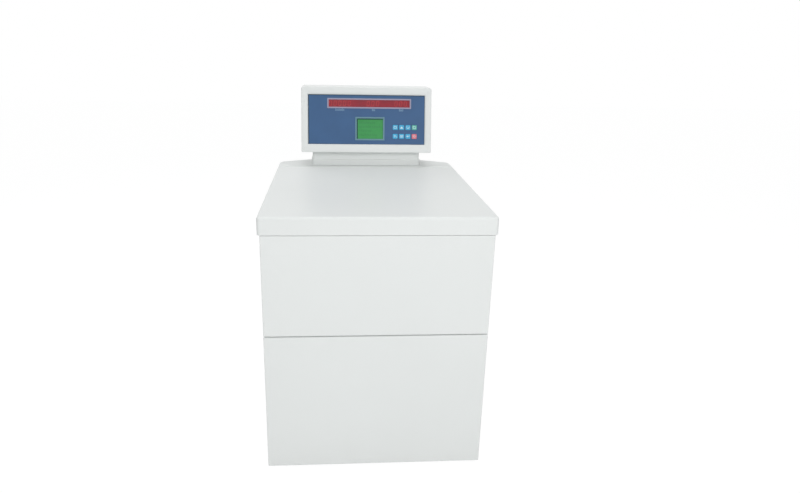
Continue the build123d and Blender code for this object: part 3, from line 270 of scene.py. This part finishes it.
def brushed_group():
    """Brush lines, drawn out across the upright axis."""
    group, inside, out = new_group("brush_lines", [("Scale", "NodeSocketFloat", 40.0)],
                                   [("Lines", "NodeSocketFloat")])
    lines = noise(group, inside.outputs["Scale"], detail=3.0, stretch=(0.6, 0.6, 30.0), rough=0.7)
    group.links.new(lines, out.inputs["Lines"])
    return group


EDGE_WEAR_AND_HIGHLIGHT = edge_wear_and_highlight_group()
GRAIN = grain_group()
SETTLED = dust_group()
BRUSHED = brushed_group()


def use(tree, group, **values):
    """A group's node in a material, with its sockets set or joined."""
    node = add_node(tree, "ShaderNodeGroup", node_tree=group)
    for label, value in values.items():
        feed(tree, value, node.inputs[label.replace("_", " ")])
    return node


# Materials

def start(name):
    material = bpy.data.materials.new(name)
    material.use_nodes = True
    tree = material.node_tree
    return material, tree, tree.nodes["Principled BSDF"]


def bump(tree, shader, height, strength, distance):
    node = add_node(tree, "ShaderNodeBump")
    node.inputs["Strength"].default_value = strength
    node.inputs["Distance"].default_value = distance
    tree.links.new(height, node.inputs["Height"])
    tree.links.new(node.outputs["Normal"], shader.inputs["Normal"])


def powder_coat(name, colour, shade, rough, coat=0.0, wear_and_highlight=0.5, dust=0.12):
    """Baked paint on sheet steel: orange peel, tone drift, edges lightened as rubbed paint and painted
    highlight, and a little dust.
    """
    material, tree, shader = start(name)
    drift = math_node(tree, "MULTIPLY", noise(tree, scale=1.7, detail=3.0), 0.16)
    tone = mix_colour(tree, drift, colour, shade)
    edges = use(tree, EDGE_WEAR_AND_HIGHLIGHT, Width=1.6 * MM, Amount=wear_and_highlight)
    # Edges lightened: rubbed paint and a painted highlight.
    worn_and_highlit = mix_colour(tree, edges.outputs["Mask"], tone, PAINT_WORN_AND_HIGHLIT)
    dusty = use(tree, SETTLED, Colour=worn_and_highlit, Amount=dust)
    tree.links.new(dusty.outputs["Colour"], shader.inputs["Base Color"])
    grain = use(tree, GRAIN, Scale=620.0, Height=1.0, Base_Roughness=rough, Spread=0.05)
    tree.links.new(grain.outputs["Roughness"], shader.inputs["Roughness"])
    shader.inputs["Coat Weight"].default_value = coat
    shader.inputs["Coat Roughness"].default_value = 0.18
    bump(tree, shader, grain.outputs["Height"], strength=0.5, distance=0.05 * MM)
    return material


def bare_metal(name, colour, rough, scale, dark=0.35, spread=0.12):
    """Metal with brush lines that change its shine and its tone, and edges lightened as a painted highlight.
    """
    material, tree, shader = start(name)
    lines = use(tree, BRUSHED, Scale=scale)
    deep = tuple(c * (1 - dark) for c in colour)
    bright = tuple(min(1, c * 1.25) for c in colour)
    tone = mix_colour(tree, lines.outputs["Lines"], deep, colour)
    edges = use(tree, EDGE_WEAR_AND_HIGHLIGHT, Width=0.8 * MM, Amount=0.8)
    # Edges lightened: a painted highlight.
    tree.links.new(mix_colour(tree, edges.outputs["Mask"], tone, bright), shader.inputs["Base Color"])
    shader.inputs["Metallic"].default_value = 1.0
    low = math_node(tree, "MULTIPLY", lines.outputs["Lines"], spread)
    tree.links.new(math_node(tree, "ADD", low, rough), shader.inputs["Roughness"])
    bump(tree, shader, lines.outputs["Lines"], strength=0.25, distance=0.03 * MM)
    return material


def moulded(name, colour, rough, scale=900.0, height=0.2, coat=0.0, tone=0.18):
    """Moulded plastic or rubber: a fine texture, a slow drift of tone and edges lightened as a painted
    highlight.
    """
    material, tree, shader = start(name)
    deep = tuple(c * (1 - tone) for c in colour)
    pale = tuple(min(1.0, c * 1.3 + 0.02) for c in colour)
    mixed = mix_colour(tree, noise(tree, scale=14.0, detail=4.0), deep, colour)
    edges = use(tree, EDGE_WEAR_AND_HIGHLIGHT, Width=0.5 * MM, Amount=0.4)
    # Edges lightened: a painted highlight.
    tree.links.new(mix_colour(tree, edges.outputs["Mask"], mixed, pale), shader.inputs["Base Color"])
    grain = use(tree, GRAIN, Scale=scale, Height=1.0, Base_Roughness=rough, Spread=0.05)
    tree.links.new(grain.outputs["Roughness"], shader.inputs["Roughness"])
    shader.inputs["Coat Weight"].default_value = coat
    shader.inputs["Coat Roughness"].default_value = 0.1
    bump(tree, shader, grain.outputs["Height"], strength=height, distance=0.04 * MM)
    return material


def lit(name, colour, deep, glow, rough, scale, stretch=(1, 1, 1)):
    """A lit window: coloured from within, unevenly, under a glossy face."""
    material, tree, shader = start(name)
    tone = mix_colour(tree, noise(tree, scale, detail=3.0, stretch=stretch), deep, colour)
    tree.links.new(tone, shader.inputs["Base Color"])
    tree.links.new(tone, shader.inputs["Emission Color"])
    shader.inputs["Emission Strength"].default_value = glow
    grain = use(tree, GRAIN, Scale=1500.0, Height=1.0, Base_Roughness=rough, Spread=0.04)
    tree.links.new(grain.outputs["Roughness"], shader.inputs["Roughness"])
    bump(tree, shader, grain.outputs["Height"], strength=0.1, distance=0.01 * MM)
    return material


FINISH = {
    "white_paint": powder_coat("satin_white_coat", PAINT_WHITE, PAINT_SHADE, rough=0.47, coat=0.12),
    "frame_paint": powder_coat("frame_enamel", ENAMEL_GREY, ENAMEL_GREY_SHADE, rough=0.45, wear_and_highlight=0.3,
                               dust=0.5),
    "stainless": bare_metal("spun_stainless", STEEL, rough=0.22, scale=60.0, dark=0.14, spread=0.06),
    "galvanised": bare_metal("zinc_plate", ZINC, rough=0.32, scale=25.0, dark=0.2),
    "aluminium": bare_metal("turned_alloy", ALLOY, rough=0.26, scale=80.0, dark=0.18),
    "copper": bare_metal("copper_tube", COPPER, rough=0.24, scale=30.0),
    "black_enamel": powder_coat("black_enamel", ENAMEL_BLACK, ENAMEL_BLACK_SHADE, rough=0.22, coat=0.6,
                                wear_and_highlight=0.1, dust=0.4),
    "rubber": moulded("black_rubber", RUBBER, rough=0.72, scale=420.0, height=0.5),
    "foam": moulded("rigid_foam", FOAM, rough=0.9, scale=260.0, height=0.9),
    "blue_panel": moulded("blue_overlay", PANEL_BLUE, rough=0.42, height=0.25, tone=0.26),
    "red_lens": lit("red_window", LENS_RED, LENS_DARK, glow=0.12, rough=0.16, scale=26.0, stretch=(1, 1, 3)),
    "green_screen": lit("green_screen", SCREEN_GREEN, SCREEN_PALE, glow=0.12, rough=0.3, scale=40.0),
    "circuit_board": moulded("solder_mask", BOARD_GREEN, rough=0.3, scale=300.0, coat=0.3),
    "key_blue": moulded("key_sky_blue", KEY_BLUE, rough=0.38),
    "key_green": moulded("key_green", KEY_GREEN, rough=0.38),
    "key_red": moulded("key_red", KEY_RED, rough=0.38),
    "black_plastic": moulded("black_moulding", PLASTIC_BLACK, rough=0.35, scale=700.0, height=0.3, coat=0.2),
    "rim_lilac": moulded("rim_lilac", FRAME_PALE, rough=0.35, coat=0.2),
    "rim_teal": moulded("rim_teal", FRAME_TEAL, rough=0.35, coat=0.2),
    "lit_figure": lit("lit_figure", FIGURE_RED, LENS_RED, glow=0.25, rough=0.2, scale=60.0),
    "screen_ink": moulded("screen_ink", SCREEN_INK, rough=0.4, height=0.1),
    "painted_well_shade": moulded("painted_well_shade", WELL_SHADE_COLOUR, rough=0.5, height=0.1),
    "painted_recess_shade": moulded("painted_recess_shade", RECESS_SHADE_COLOUR, rough=0.45, height=0.1),
    "sign_ink": moulded("sign_ink", KEY_INK, rough=0.45, height=0.1),
    "mark_pale": moulded("mark_pale", LEGEND_PALE, rough=0.5, height=0.1),
    "grey_plastic": moulded("grey_moulding", PLASTIC_GREY, rough=0.5, scale=600.0, height=0.4),
}


def dress_nodes():
    """Gives every CAD node the finish of its slot."""
    for part in frame["record"]["subparts"]:
        shape = frame["nodes"][part["node"]]
        shape.data.materials.clear()
        shape.data.materials.append(FINISH[part["material_slot"]])


# Shape tools

def offset_corners(corners, inset):
    """The corners of a convex outline, each edge moved in by inset."""
    moved = []
    for i, here in enumerate(corners):
        before, after = corners[i - 1], corners[(i + 1) % len(corners)]
        d1, d2 = (here - before).normalized(), (after - here).normalized()
        n1, n2 = Vector((-d1.y, d1.x)), Vector((-d2.y, d2.x))
        moved.append(here + (n1 + n2) * (inset / (1 + n1.dot(n2))))
    return moved


def rounded(corners, radii, inset=0.0, steps=6):
    """Points round a convex outline, moved in by inset, with an arc at each corner."""
    points = []
    moved = offset_corners([Vector(c) for c in corners], inset)
    for i, here in enumerate(moved):
        before, after = moved[i - 1], moved[(i + 1) % len(moved)]
        d1, d2 = (here - before).normalized(), (after - here).normalized()
        turn = d1.angle(d2)
        radius = max(radii[i] - inset, SHARP_RADIUS)
        centre = here - d1 * radius * tan(turn / 2) + Vector((-d1.y, d1.x)) * radius
        spoke = Vector((d1.y, -d1.x)) * radius
        for k in range(steps + 1):
            a = turn * k / steps
            points.append(centre + Vector((spoke.x * cos(a) - spoke.y * sin(a),
                                           spoke.x * sin(a) + spoke.y * cos(a))))
    return points


def rectangle(width, height, u=0.0, v=0.0):
    w, h = width / 2, height / 2
    return [(u - w, v - h), (u + w, v - h), (u + w, v + h), (u - w, v + h)]


def bend(inset, level, radius, steps=6):
    """The profile of a rounded edge: (inset, level) pairs from the upright to the flat."""
    return [(inset + radius * (1 - cos(pi / 2 * k / steps)), level - radius * (1 - sin(pi / 2 * k / steps)))
            for k in range(steps + 1)]


def skin(rings, closed=False):
    """Faces between rings of points. Open stacks are capped, closed ones join end to end."""
    form = bmesh.new()
    rows = [[form.verts.new(p) for p in ring] for ring in rings]
    pairs = list(zip(rows, rows[1:]))
    if closed:
        pairs.append((rows[-1], rows[0]))
    else:
        form.faces.new(rows[0])
        form.faces.new(rows[-1])
    for low, high in pairs:
        for i in range(len(low)):
            j = (i + 1) % len(low)
            form.faces.new((low[i], low[j], high[j], high[i]))
    return form


def stack(corners, radii, profile):
    """Rings of one outline, one for each (inset, level) of a profile."""
    return [[Vector((p.x, p.y, level)) for p in rounded(corners, radii, inset)] for inset, level in profile]


def merge(*forms):
    """Joins several forms into the first."""
    whole = forms[0]
    for form in forms[1:]:
        mesh = bpy.data.meshes.new("joined")
        form.to_mesh(mesh)
        form.free()
        whole.from_mesh(mesh)
        bpy.data.meshes.remove(mesh)
    return whole


def soften(mesh):
    """Smooth shading, with real corners kept sharp."""
    mesh.shade_smooth()
    mesh.set_sharp_from_angle(angle=SHARP_ANGLE)


def as_object(name, form, where=None):
    """A mesh object from a form. With where, it is moved to its place first."""
    bmesh.ops.remove_doubles(form, verts=form.verts, dist=WELD)
    bmesh.ops.recalc_face_normals(form, faces=form.faces)
    mesh = bpy.data.meshes.new(name)
    form.to_mesh(mesh)
    form.free()
    if where is not None:
        mesh.transform(where)
    piece = bpy.data.objects.new(name, mesh)
    bpy.context.scene.collection.objects.link(piece)
    return piece


def piece_from(name, form, body, slot, where=None, finish=None, stands_for=None):
    """A finished piece that rides on a body and may stand for a CAD node."""
    piece = as_object(name, form, where)
    soften(piece.data)
    piece.data.materials.append(FINISH[finish or slot])
    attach(piece, body)
    if stands_for:
        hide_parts(stands_for)
    return piece


def cut_away(piece, cutters):
    """Cuts forms out of a piece for good."""
    for cutter in cutters:
        step = piece.modifiers.new("cut", "BOOLEAN")
        step.operation, step.solver, step.object = "DIFFERENCE", "EXACT", cutter
    graph = bpy.context.evaluated_depsgraph_get()
    mesh = bpy.data.meshes.new_from_object(piece.evaluated_get(graph))
    piece.modifiers.clear()
    old = piece.data
    piece.data = mesh
    bpy.data.meshes.remove(old)
    for cutter in cutters:
        bpy.data.objects.remove(cutter)
    soften(mesh)


# Sheet metal: lid, rear hood, doors and neck

def folded_top(corners, radii, low, high):
    """A folded steel top, open below: its underside from the middle out, then its outside."""
    crest = high - LID_CROWN
    outside = [(0, low), (0, crest - LID_BEND - BEND_HOLD)] + bend(0, crest, LID_BEND)
    outside += [(LID_BEND + BEND_HOLD, crest), (LID_CROWN_REACH, high - LID_CROWN / 3)]
    inside = [(inset + SHEET * (1 if level < high - LID_BEND else BEND_INNER_SHARE), level - SHEET)
              for inset, level in reversed(outside[2:])]
    inside.append((SHEET, low))
    return skin(stack(corners, radii, inside) + stack(corners, radii, outside))


def lid_cover():
    """The lid's folded steel top, notched at its rear edge for the hinges."""
    low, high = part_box("lid_skin")
    corners = [(low.x, low.y), (high.x, low.y), (high.x, high.y), (low.x, high.y)]
    radii = [LID_CORNER, LID_CORNER, LID_BACK_CORNER, LID_BACK_CORNER]
    piece = piece_from("lid_cover", folded_top(corners, radii, low.z, high.z), "lid", "white_paint",
                       stands_for="lid_skin")
    pins_low, pins_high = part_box("hinge_pins")
    reach = (pins_high.x - pins_low.x) / 2 - HINGE_HALF
    notches = []
    for x in (-reach, reach):
        plan = rectangle(HINGE_NOTCH_W, 2 * HINGE_NOTCH_D, x, high.y)
        notch = skin([[Vector((u, v, z)) for u, v in plan] for z in (low.z - MM, low.z + HINGE_NOTCH_Z)])
        notches.append(as_object("notch", notch))
    cut_away(piece, notches)


def rear_hood():
    """The fixed folded top behind the lid, with its rear corners cut off."""
    low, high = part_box("rear_deck")
    corners = [(low.x, low.y), (high.x, low.y), (high.x, high.y - REAR_CUT_D), (high.x - REAR_CUT_W, high.y),
               (low.x + REAR_CUT_W, high.y), (low.x, high.y - REAR_CUT_D)]
    radii = [LID_BACK_CORNER, LID_BACK_CORNER] + [REAR_CUT_ROUND] * 4
    piece_from("rear_hood", folded_top(corners, radii, low.z, high.z), "cabinet", "white_paint",
               stands_for="rear_deck")


def door(name, node, rise=0.0):
    """A pressed front panel with bent edges, folded back all round. Its top may rise into the lid's gap."""
    low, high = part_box(node)
    high.z += rise
    corners = [(low.x, low.z), (high.x, low.z), (high.x, high.z), (low.x, high.z)]
    depth = high.y - low.y
    flat = DOOR_BEND + DOOR_HOLD
    inside = [(flat, depth - SHEET), (SHEET, depth - SHEET), (SHEET, 0)]
    outside = [(0, 0)] + bend(0, depth, DOOR_BEND) + [(flat, depth)]
    stand = Matrix(((1, 0, 0, 0), (0, 0, -1, high.y), (0, 1, 0, 0), (0, 0, 0, 1)))
    form = skin(stack(corners, [DOOR_CORNER] * 4, inside + outside))
    piece_from(name, form, "cabinet", "white_paint", stand, stands_for=node)


def neck_sleeve():
    """The neck under the head, with a wider foot."""
    low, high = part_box("neck")
    corners = rectangle(high.x - low.x, high.y - low.y, 0, (low.y + high.y) / 2)
    shelf = low.z + NECK_FOOT_H
    wall = NECK_FOOT_OUT + NECK_WALL
    profile = [(0, low.z), (0, shelf - NECK_SHOULDER), (NECK_SHOULDER, shelf),
               (NECK_FOOT_OUT - NECK_FILLET_W, shelf), (NECK_FOOT_OUT, shelf + NECK_FILLET_H),
               (NECK_FOOT_OUT, high.z), (wall, high.z), (wall, low.z)]
    form = skin(stack(corners, [NECK_CORNER] * 4, profile), closed=True)
    piece_from("neck_sleeve", form, "cabinet", "white_paint", stands_for="neck")


# Control head, drawn on its tilted face: u to the right, v up the slope, n outwards

def face_place():
    """Puts pieces drawn at (u, v, n) from the middle of the blue panel onto the head."""
    low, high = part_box("control_panel")
    out = Vector((0, -cos(LEAN), sin(LEAN)))
    middle = (low + high) / 2 + out * (PANEL_SET + PANEL_T / 2)
    return Matrix(((1, 0, 0, middle.x), (0, sin(LEAN), out.y, middle.y), (0, cos(LEAN), out.z, middle.z),
                   (0, 0, 0, 1)))


def head_frame(face):
    """The moulded frame round the sunk panel. Its top and foot run back level from the tilted face."""
    low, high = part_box("head_bezel")
    outline = rectangle(high.x - low.x, (high.z - low.z) / cos(LEAN), 0, -PANEL_RISE / cos(LEAN))
    rings = []
    for ring in stack(outline, HEAD_CORNERS, [(0, -FRAME_D)] + bend(0, 0, FRAME_BEND)):
        rings.append([p - Vector((0, p.z * tan(LEAN), 0)) for p in ring])
    mouth = rectangle(PANEL_W + 2 * BEVEL, PANEL_H + 2 * BEVEL)
    rings += stack(mouth, [MOUTH_CORNER] * 4, MOUTH_PROFILE)
    piece_from("head_frame", skin(rings, closed=True), "cabinet", "white_paint", face,
               stands_for="head_bezel")


def window_frame(outer, inner, crest, foot):
    """A raised rim round a window, from its outer and inner outlines."""
    rings = stack(outer, [RIM_OUTER_CORNER] * 4, [(0, foot), (0, crest - RIM_EDGE), (RIM_EDGE, crest)])
    rings += stack(inner, [RIM_INNER_CORNER] * 4, [(-RIM_EDGE, crest), (0, crest - RIM_EDGE), (0, foot)])
    return skin(rings, closed=True)


def slab(outline, low, high):
    """A flat plate with slightly rounded corners."""
    return skin(stack(outline, [SLAB_CORNER] * 4, [(0, low), (0, high)]))


def stroke(u0, v0, u1, v1, width, low, high):
    """A straight bar on the face, from one point to another."""
    along = Vector((u1 - u0, v1 - v0)).normalized() * width / 2
    across = Vector((-along.y, along.x))
    a, b = Vector((u0, v0)) - along, Vector((u1, v1)) + along
    corners = [a - across, b - across, b + across, a + across]
    return skin([[Vector((c.x, c.y, n)) for c in corners] for n in (low, high)])


def strokes(points, width, low, high, closed=False):
    """A line of bars through several points."""
    ends = list(zip(points, points[1:] + points[:1] if closed else points[1:]))
    return merge(*[stroke(*a, *b, width, low, high) for a, b in ends])


def nought(u, v, width, height, bar, low, high, lean=0.0):
    """A nought of a seven-bar display: its six outer bars."""
    w, h = width / 2, height / 2
    ends = ((-w, h, w, h), (w, h, w, 0), (w, 0, w, -h), (-w, -h, w, -h), (-w, 0, -w, -h), (-w, h, -w, 0))
    bars = []
    for u0, v0, u1, v1 in ends:
        a, b = Vector((u0 + lean * v0, v0)), Vector((u1 + lean * v1, v1))
        trim = (b - a).normalized() * bar * DIGIT_TRIM
        a, b = a + trim, b - trim
        bars.append(stroke(u + a.x, v + a.y, u + b.x, v + b.y, bar, low, high))
    return merge(*bars)


def led_window(face):
    """The long red window in its pale rim, with three faint groups of noughts on its face."""
    outer = rectangle(LED_W, LED_H, LED_U, LED_V)
    inner = rectangle(LED_W - 2 * LED_RIM, LED_H - 2 * LED_RIM, LED_U, LED_V)
    foot, glass = -PANEL_SET - LED_DEPTH, -PANEL_SET - LED_SINK
    piece_from("led_frame", window_frame(outer, inner, LED_PROUD - PANEL_SET, foot), "cabinet", "red_lens",
               face, "rim_lilac", "led_display")
    piece_from("led_window", slab(inner, foot, glass), "cabinet", "red_lens", face)
    figures = []
    for u, count in DIGIT_GROUPS:
        for i in range(count):
            x = LED_U + u + (i - (count - 1) / 2) * DIGIT_PITCH
            figures.append(nought(x, LED_V, DIGIT_W, DIGIT_H, DIGIT_BAR, glass, glass + DIGIT_T, DIGIT_LEAN))
    piece_from("led_figures", merge(*figures), "cabinet", "red_lens", face, "lit_figure")


def lcd_window(face):
    """The green screen, sunk in its pale rim, with rows of dark figures, and a dark plate left bare at the
    left and top as painted shade from the rim.
    """
    outer = rectangle(LCD_W, LCD_H, LCD_U, LCD_V)
    inner_w, inner_h = LCD_W - 2 * LCD_RIM, LCD_H - 2 * LCD_RIM
    inner = rectangle(inner_w, inner_h, LCD_U, LCD_V)
    foot = -PANEL_SET - LCD_SINK
    piece_from("lcd_frame", window_frame(outer, inner, LCD_PROUD - PANEL_SET, foot), "cabinet",
               "green_screen", face, "rim_teal", "lcd_module")
    well = foot + LCD_WELL_RISE
    top = well + LCD_GLASS_T
    # A dark plate under the glass, seen only at the left and top: painted shade cast by the rim.
    piece_from("lcd_shade_plate", slab(inner, well - LCD_WELL_T, well), "cabinet", "green_screen", face,
               "painted_well_shade")
    glass = rectangle(inner_w - LCD_SHADE_LEFT, inner_h - LCD_SHADE_TOP, LCD_U + LCD_SHADE_LEFT / 2,
                      LCD_V - LCD_SHADE_TOP / 2)
    piece_from("lcd_screen", slab(glass, well, top), "cabinet", "green_screen", face)
    figures = []
    for row, count in enumerate(LCD_ROWS):
        v = LCD_V + ((len(LCD_ROWS) - 1) / 2 - row) * LCD_ROW_PITCH
        for i in range(count):
            u = LCD_U - LCD_W / 2 + LCD_RIM + (i + LCD_FIGURE_START) * LCD_FIGURE_PITCH
            figures.append(nought(u, v, LCD_FIGURE_W, LCD_FIGURE_H, LCD_FIGURE_BAR, top, top + PRINT_T))
    piece_from("lcd_figures", merge(*figures), "cabinet", "green_screen", face, "screen_ink")


def key_caps(face):
    """Eight soft-edged caps, each with a raised sign of its own."""
    base, crest = -PANEL_SET - KEY_DEPTH, KEY_PROUD - PANEL_SET
    profile = [(0, base), (0, crest - KEY_BEND)] + bend(0, crest, KEY_BEND, steps=5)
    profile += [(KEY_CROWN_REACH, crest + KEY_CROWN)]
    for i in range(KEY_COUNT):
        node = f"key_{i + 1}"
        slot = KEY_SLOTS.get(i, "key_blue")
        u, v = KEY_U + (i % KEY_ROW) * KEY_PITCH_U, KEY_V - (i // KEY_ROW) * KEY_PITCH_V
        cap = skin(stack(rectangle(KEY_W, KEY_H, u, v), [KEY_CORNER] * 4, profile))
        piece_from(f"{node}_cap", cap, node, slot, face, stands_for=node)
        sign = key_sign(i, crest - KEY_CROWN, crest + SIGN_PROUD)
        bmesh.ops.translate(sign, verts=sign.verts, vec=(u, v, 0))
        piece_from(f"{node}_sign", sign, node, slot, face, "sign_ink")


def key_sign(i, low, high):
    """The plain sign on key i, about the key's own middle."""
    w, h, bar = SIGN_REACH_U, SIGN_REACH_V, SIGN_BAR
    window = [(-w, -h), (w, -h), (w, h), (-w, h)]
    if i in (0, 3):
        return strokes(window, bar, low, high, closed=True)
    if i == 1:
        rows = [(w * (1 - k / 5), -h + k * h / 2.6) for k in range(5)]
        return merge(*[stroke(-reach, v, reach, v, bar, low, high) for reach, v in rows])
    if i == 2:
        return strokes([(-w, h), (-w * 0.6, -h), (w * 0.6, -h), (w, h)], bar, low, high)
    if i == 4:
        upright = stroke(-w * 0.7, -h, -w * 0.7, h, bar, low, high)
        return merge(upright, stroke(0, h, w, -h, bar, low, high))
    if i == 5:
        rows = [stroke(-w * 0.55, v, w * 0.55, v, bar * 0.6, low, high) for v in (-h * 0.45, 0, h * 0.45)]
        return merge(strokes(window, bar * 0.7, low, high, closed=True), *rows)
    if i == 6:
        arrow = strokes([(-w * 0.2, h * 0.8), (-w, 0), (-w * 0.2, -h * 0.8)], bar, low, high)
        return merge(arrow, strokes([(-w, 0), (w, 0), (w, h)], bar, low, high))
    ring = [(h * cos(pi / 6 * k), h * sin(pi / 6 * k)) for k in range(12)]
    return strokes(ring, bar, low, high, closed=True)


def panel_marks(face):
    """The three small printed marks under the red window, as plain pale bars."""
    top, foot = -PANEL_SET, MARK_V - MARK_H / 2
    marks = []
    for u, width in MARK_PLACES:
        count = max(2, round(width / MARK_PITCH))
        for i in range(count):
            x = u + (i - (count - 1) / 2) * MARK_PITCH
            tall = MARK_H * (1 if i % MARK_TALL_EVERY == 0 else MARK_SHORT)
            marks.append(stroke(x, foot, x, foot + tall, MARK_BAR, top, top + MARK_T))
    piece_from("panel_marks", merge(*marks), "cabinet", "blue_panel", face, "mark_pale")


def panel_recess_shade(face):
    """Painted shade round the blue overlay from its recess, broader at the left and at the top."""
    u, v, low, high = PANEL_W / 2, PANEL_H / 2, -PANEL_SET, -PANEL_SET + PRINT_T
    left, over, thin = RECESS_SHADE_LEFT, RECESS_SHADE_TOP, RECESS_SHADE_THIN
    lines = [stroke(-u + left / 2, -v + thin, -u + left / 2, v - over, left, low, high),
             stroke(-u + left, v - over / 2, u - thin, v - over / 2, over, low, high),
             stroke(u - thin / 2, -v + thin, u - thin / 2, v - over, thin, low, high),
             stroke(-u + left, -v + thin / 2, u - thin, -v + thin / 2, thin, low, high)]
    piece_from("panel_recess_shade", merge(*lines), "cabinet", "blue_panel", face, "painted_recess_shade")


# Stage, light and camera. The camera is in metres, degrees and pixels of the picture.

CAMERA_AT = (-0.1328, -2.2374, 1.3574)
CAMERA_YAW, CAMERA_PITCH, CAMERA_ROLL = 4.284, 17.594, 1.134
FOCAL_PIXELS = 627.06
IMAGE_W, IMAGE_H = 800, 493
OPTICAL_X, OPTICAL_Y = 378.99, 239.49
SENSOR = 36.0
WORLD_TINT, WORLD_LEVEL = (0.975, 0.995, 1.0), 0.4
FLOOR_REACH, FLOOR_GREY, FLOOR_GLOW, FLOOR_WHITE = 12.0, (0.86, 0.86, 0.86), 0.9, 1.06
LAMP_AIM = (0, 0, 0.7)
# Name, place, watts, size and whether gloss mirrors it
LAMPS = (("front_high", (-0.3, -3.6, 2.8), 55, 1.5, False),
         ("top_soft", (0.2, 0.4, 3.6), 28, 2.4, True),
         ("rear_left", (-1.8, 2.2, 3.0), 14, 1.4, True),
         ("low_front", (1.8, -4.2, 0.9), 35, 2.5, True))


def set_camera():
    data = bpy.data.cameras.new("camera")
    data.sensor_width = SENSOR
    data.lens = SENSOR * FOCAL_PIXELS / IMAGE_W
    data.shift_x = (IMAGE_W / 2 - OPTICAL_X) / IMAGE_W
    data.shift_y = (OPTICAL_Y - IMAGE_H / 2) / IMAGE_W
    camera = bpy.data.objects.new("camera", data)
    yaw = Matrix.Rotation(-radians(CAMERA_YAW), 4, "Z")
    pitch = Matrix.Rotation(radians(90 - CAMERA_PITCH), 4, "X")
    roll = Matrix.Rotation(radians(CAMERA_ROLL), 4, "Z")
    camera.matrix_world = Matrix.Translation(CAMERA_AT) @ (yaw @ pitch @ roll)
    bpy.context.scene.collection.objects.link(camera)
    bpy.context.scene.camera = camera


def set_lamps():
    for name, place, watts, size, mirrored in LAMPS:
        data = bpy.data.lights.new(name, "AREA")
        data.energy, data.size = watts, size
        lamp = bpy.data.objects.new(name, data)
        lamp.location = place
        lamp.rotation_euler = (Vector(LAMP_AIM) - Vector(place)).to_track_quat("-Z", "Y").to_euler()
        lamp.visible_glossy = mirrored
        bpy.context.scene.collection.objects.link(lamp)


def seen_as(tree, plain, seen):
    """A shader that is plain for lighting, and seen by the camera, in gloss and through glass."""
    path = add_node(tree, "ShaderNodeLightPath")
    factor = path.outputs["Is Camera Ray"]
    for ray in ("Is Glossy Ray", "Is Transmission Ray"):
        factor = math_node(tree, "ADD", factor, path.outputs[ray], clamp=True)
    mix = add_node(tree, "ShaderNodeMixShader")
    tree.links.new(factor, mix.inputs[0])
    tree.links.new(plain, mix.inputs[1])
    tree.links.new(seen, mix.inputs[2])
    return mix.outputs[0]


def set_world():
    """Soft light from all round, and plain white where the surroundings are seen."""
    world = bpy.data.worlds.new("studio")
    bpy.context.scene.world = world
    world.use_nodes = True
    tree = world.node_tree
    soft = tree.nodes["Background"]
    soft.inputs["Color"].default_value = (*WORLD_TINT, 1)
    soft.inputs["Strength"].default_value = WORLD_LEVEL
    white = add_node(tree, "ShaderNodeBackground")
    white.inputs["Color"].default_value = (1, 1, 1, 1)
    white.inputs["Strength"].default_value = 1.0
    out = tree.nodes["World Output"]
    tree.links.new(seen_as(tree, soft.outputs[0], white.outputs[0]), out.inputs["Surface"])


def set_floor():
    """A pale floor that is nearly white to the eye and keeps a faint shadow."""
    mesh = bpy.data.meshes.new("floor")
    corners = rectangle(2 * FLOOR_REACH, 2 * FLOOR_REACH)
    mesh.from_pydata([(x, y, 0) for x, y in corners], [], [(0, 1, 2, 3)])
    floor = bpy.data.objects.new("floor", mesh)
    bpy.context.scene.collection.objects.link(floor)
    material, tree, shader = start("pale_floor")
    shader.inputs["Base Color"].default_value = (*FLOOR_GREY, 1)
    shader.inputs["Roughness"].default_value = 0.7
    glow = add_node(tree, "ShaderNodeEmission")
    glow.inputs["Strength"].default_value = FLOOR_WHITE
    both = add_node(tree, "ShaderNodeMixShader")
    both.inputs[0].default_value = FLOOR_GLOW
    tree.links.new(shader.outputs[0], both.inputs[1])
    tree.links.new(glow.outputs[0], both.inputs[2])
    out = tree.nodes["Material Output"]
    tree.links.new(seen_as(tree, shader.outputs[0], both.outputs[0]), out.inputs["Surface"])
    mesh.materials.append(material)


dress_nodes()
lid_cover()
rear_hood()
door("front_panel_upper_skin", "front_panel_upper", LID_GAP_CLOSED)
door("front_panel_lower_skin", "front_panel_lower")
neck_sleeve()
face = face_place()
head_frame(face)
led_window(face)
lcd_window(face)
key_caps(face)
panel_marks(face)
panel_recess_shade(face)
set_camera()
set_world()
set_floor()
set_lamps()

bpy.context.scene.view_settings.view_transform = "Standard"
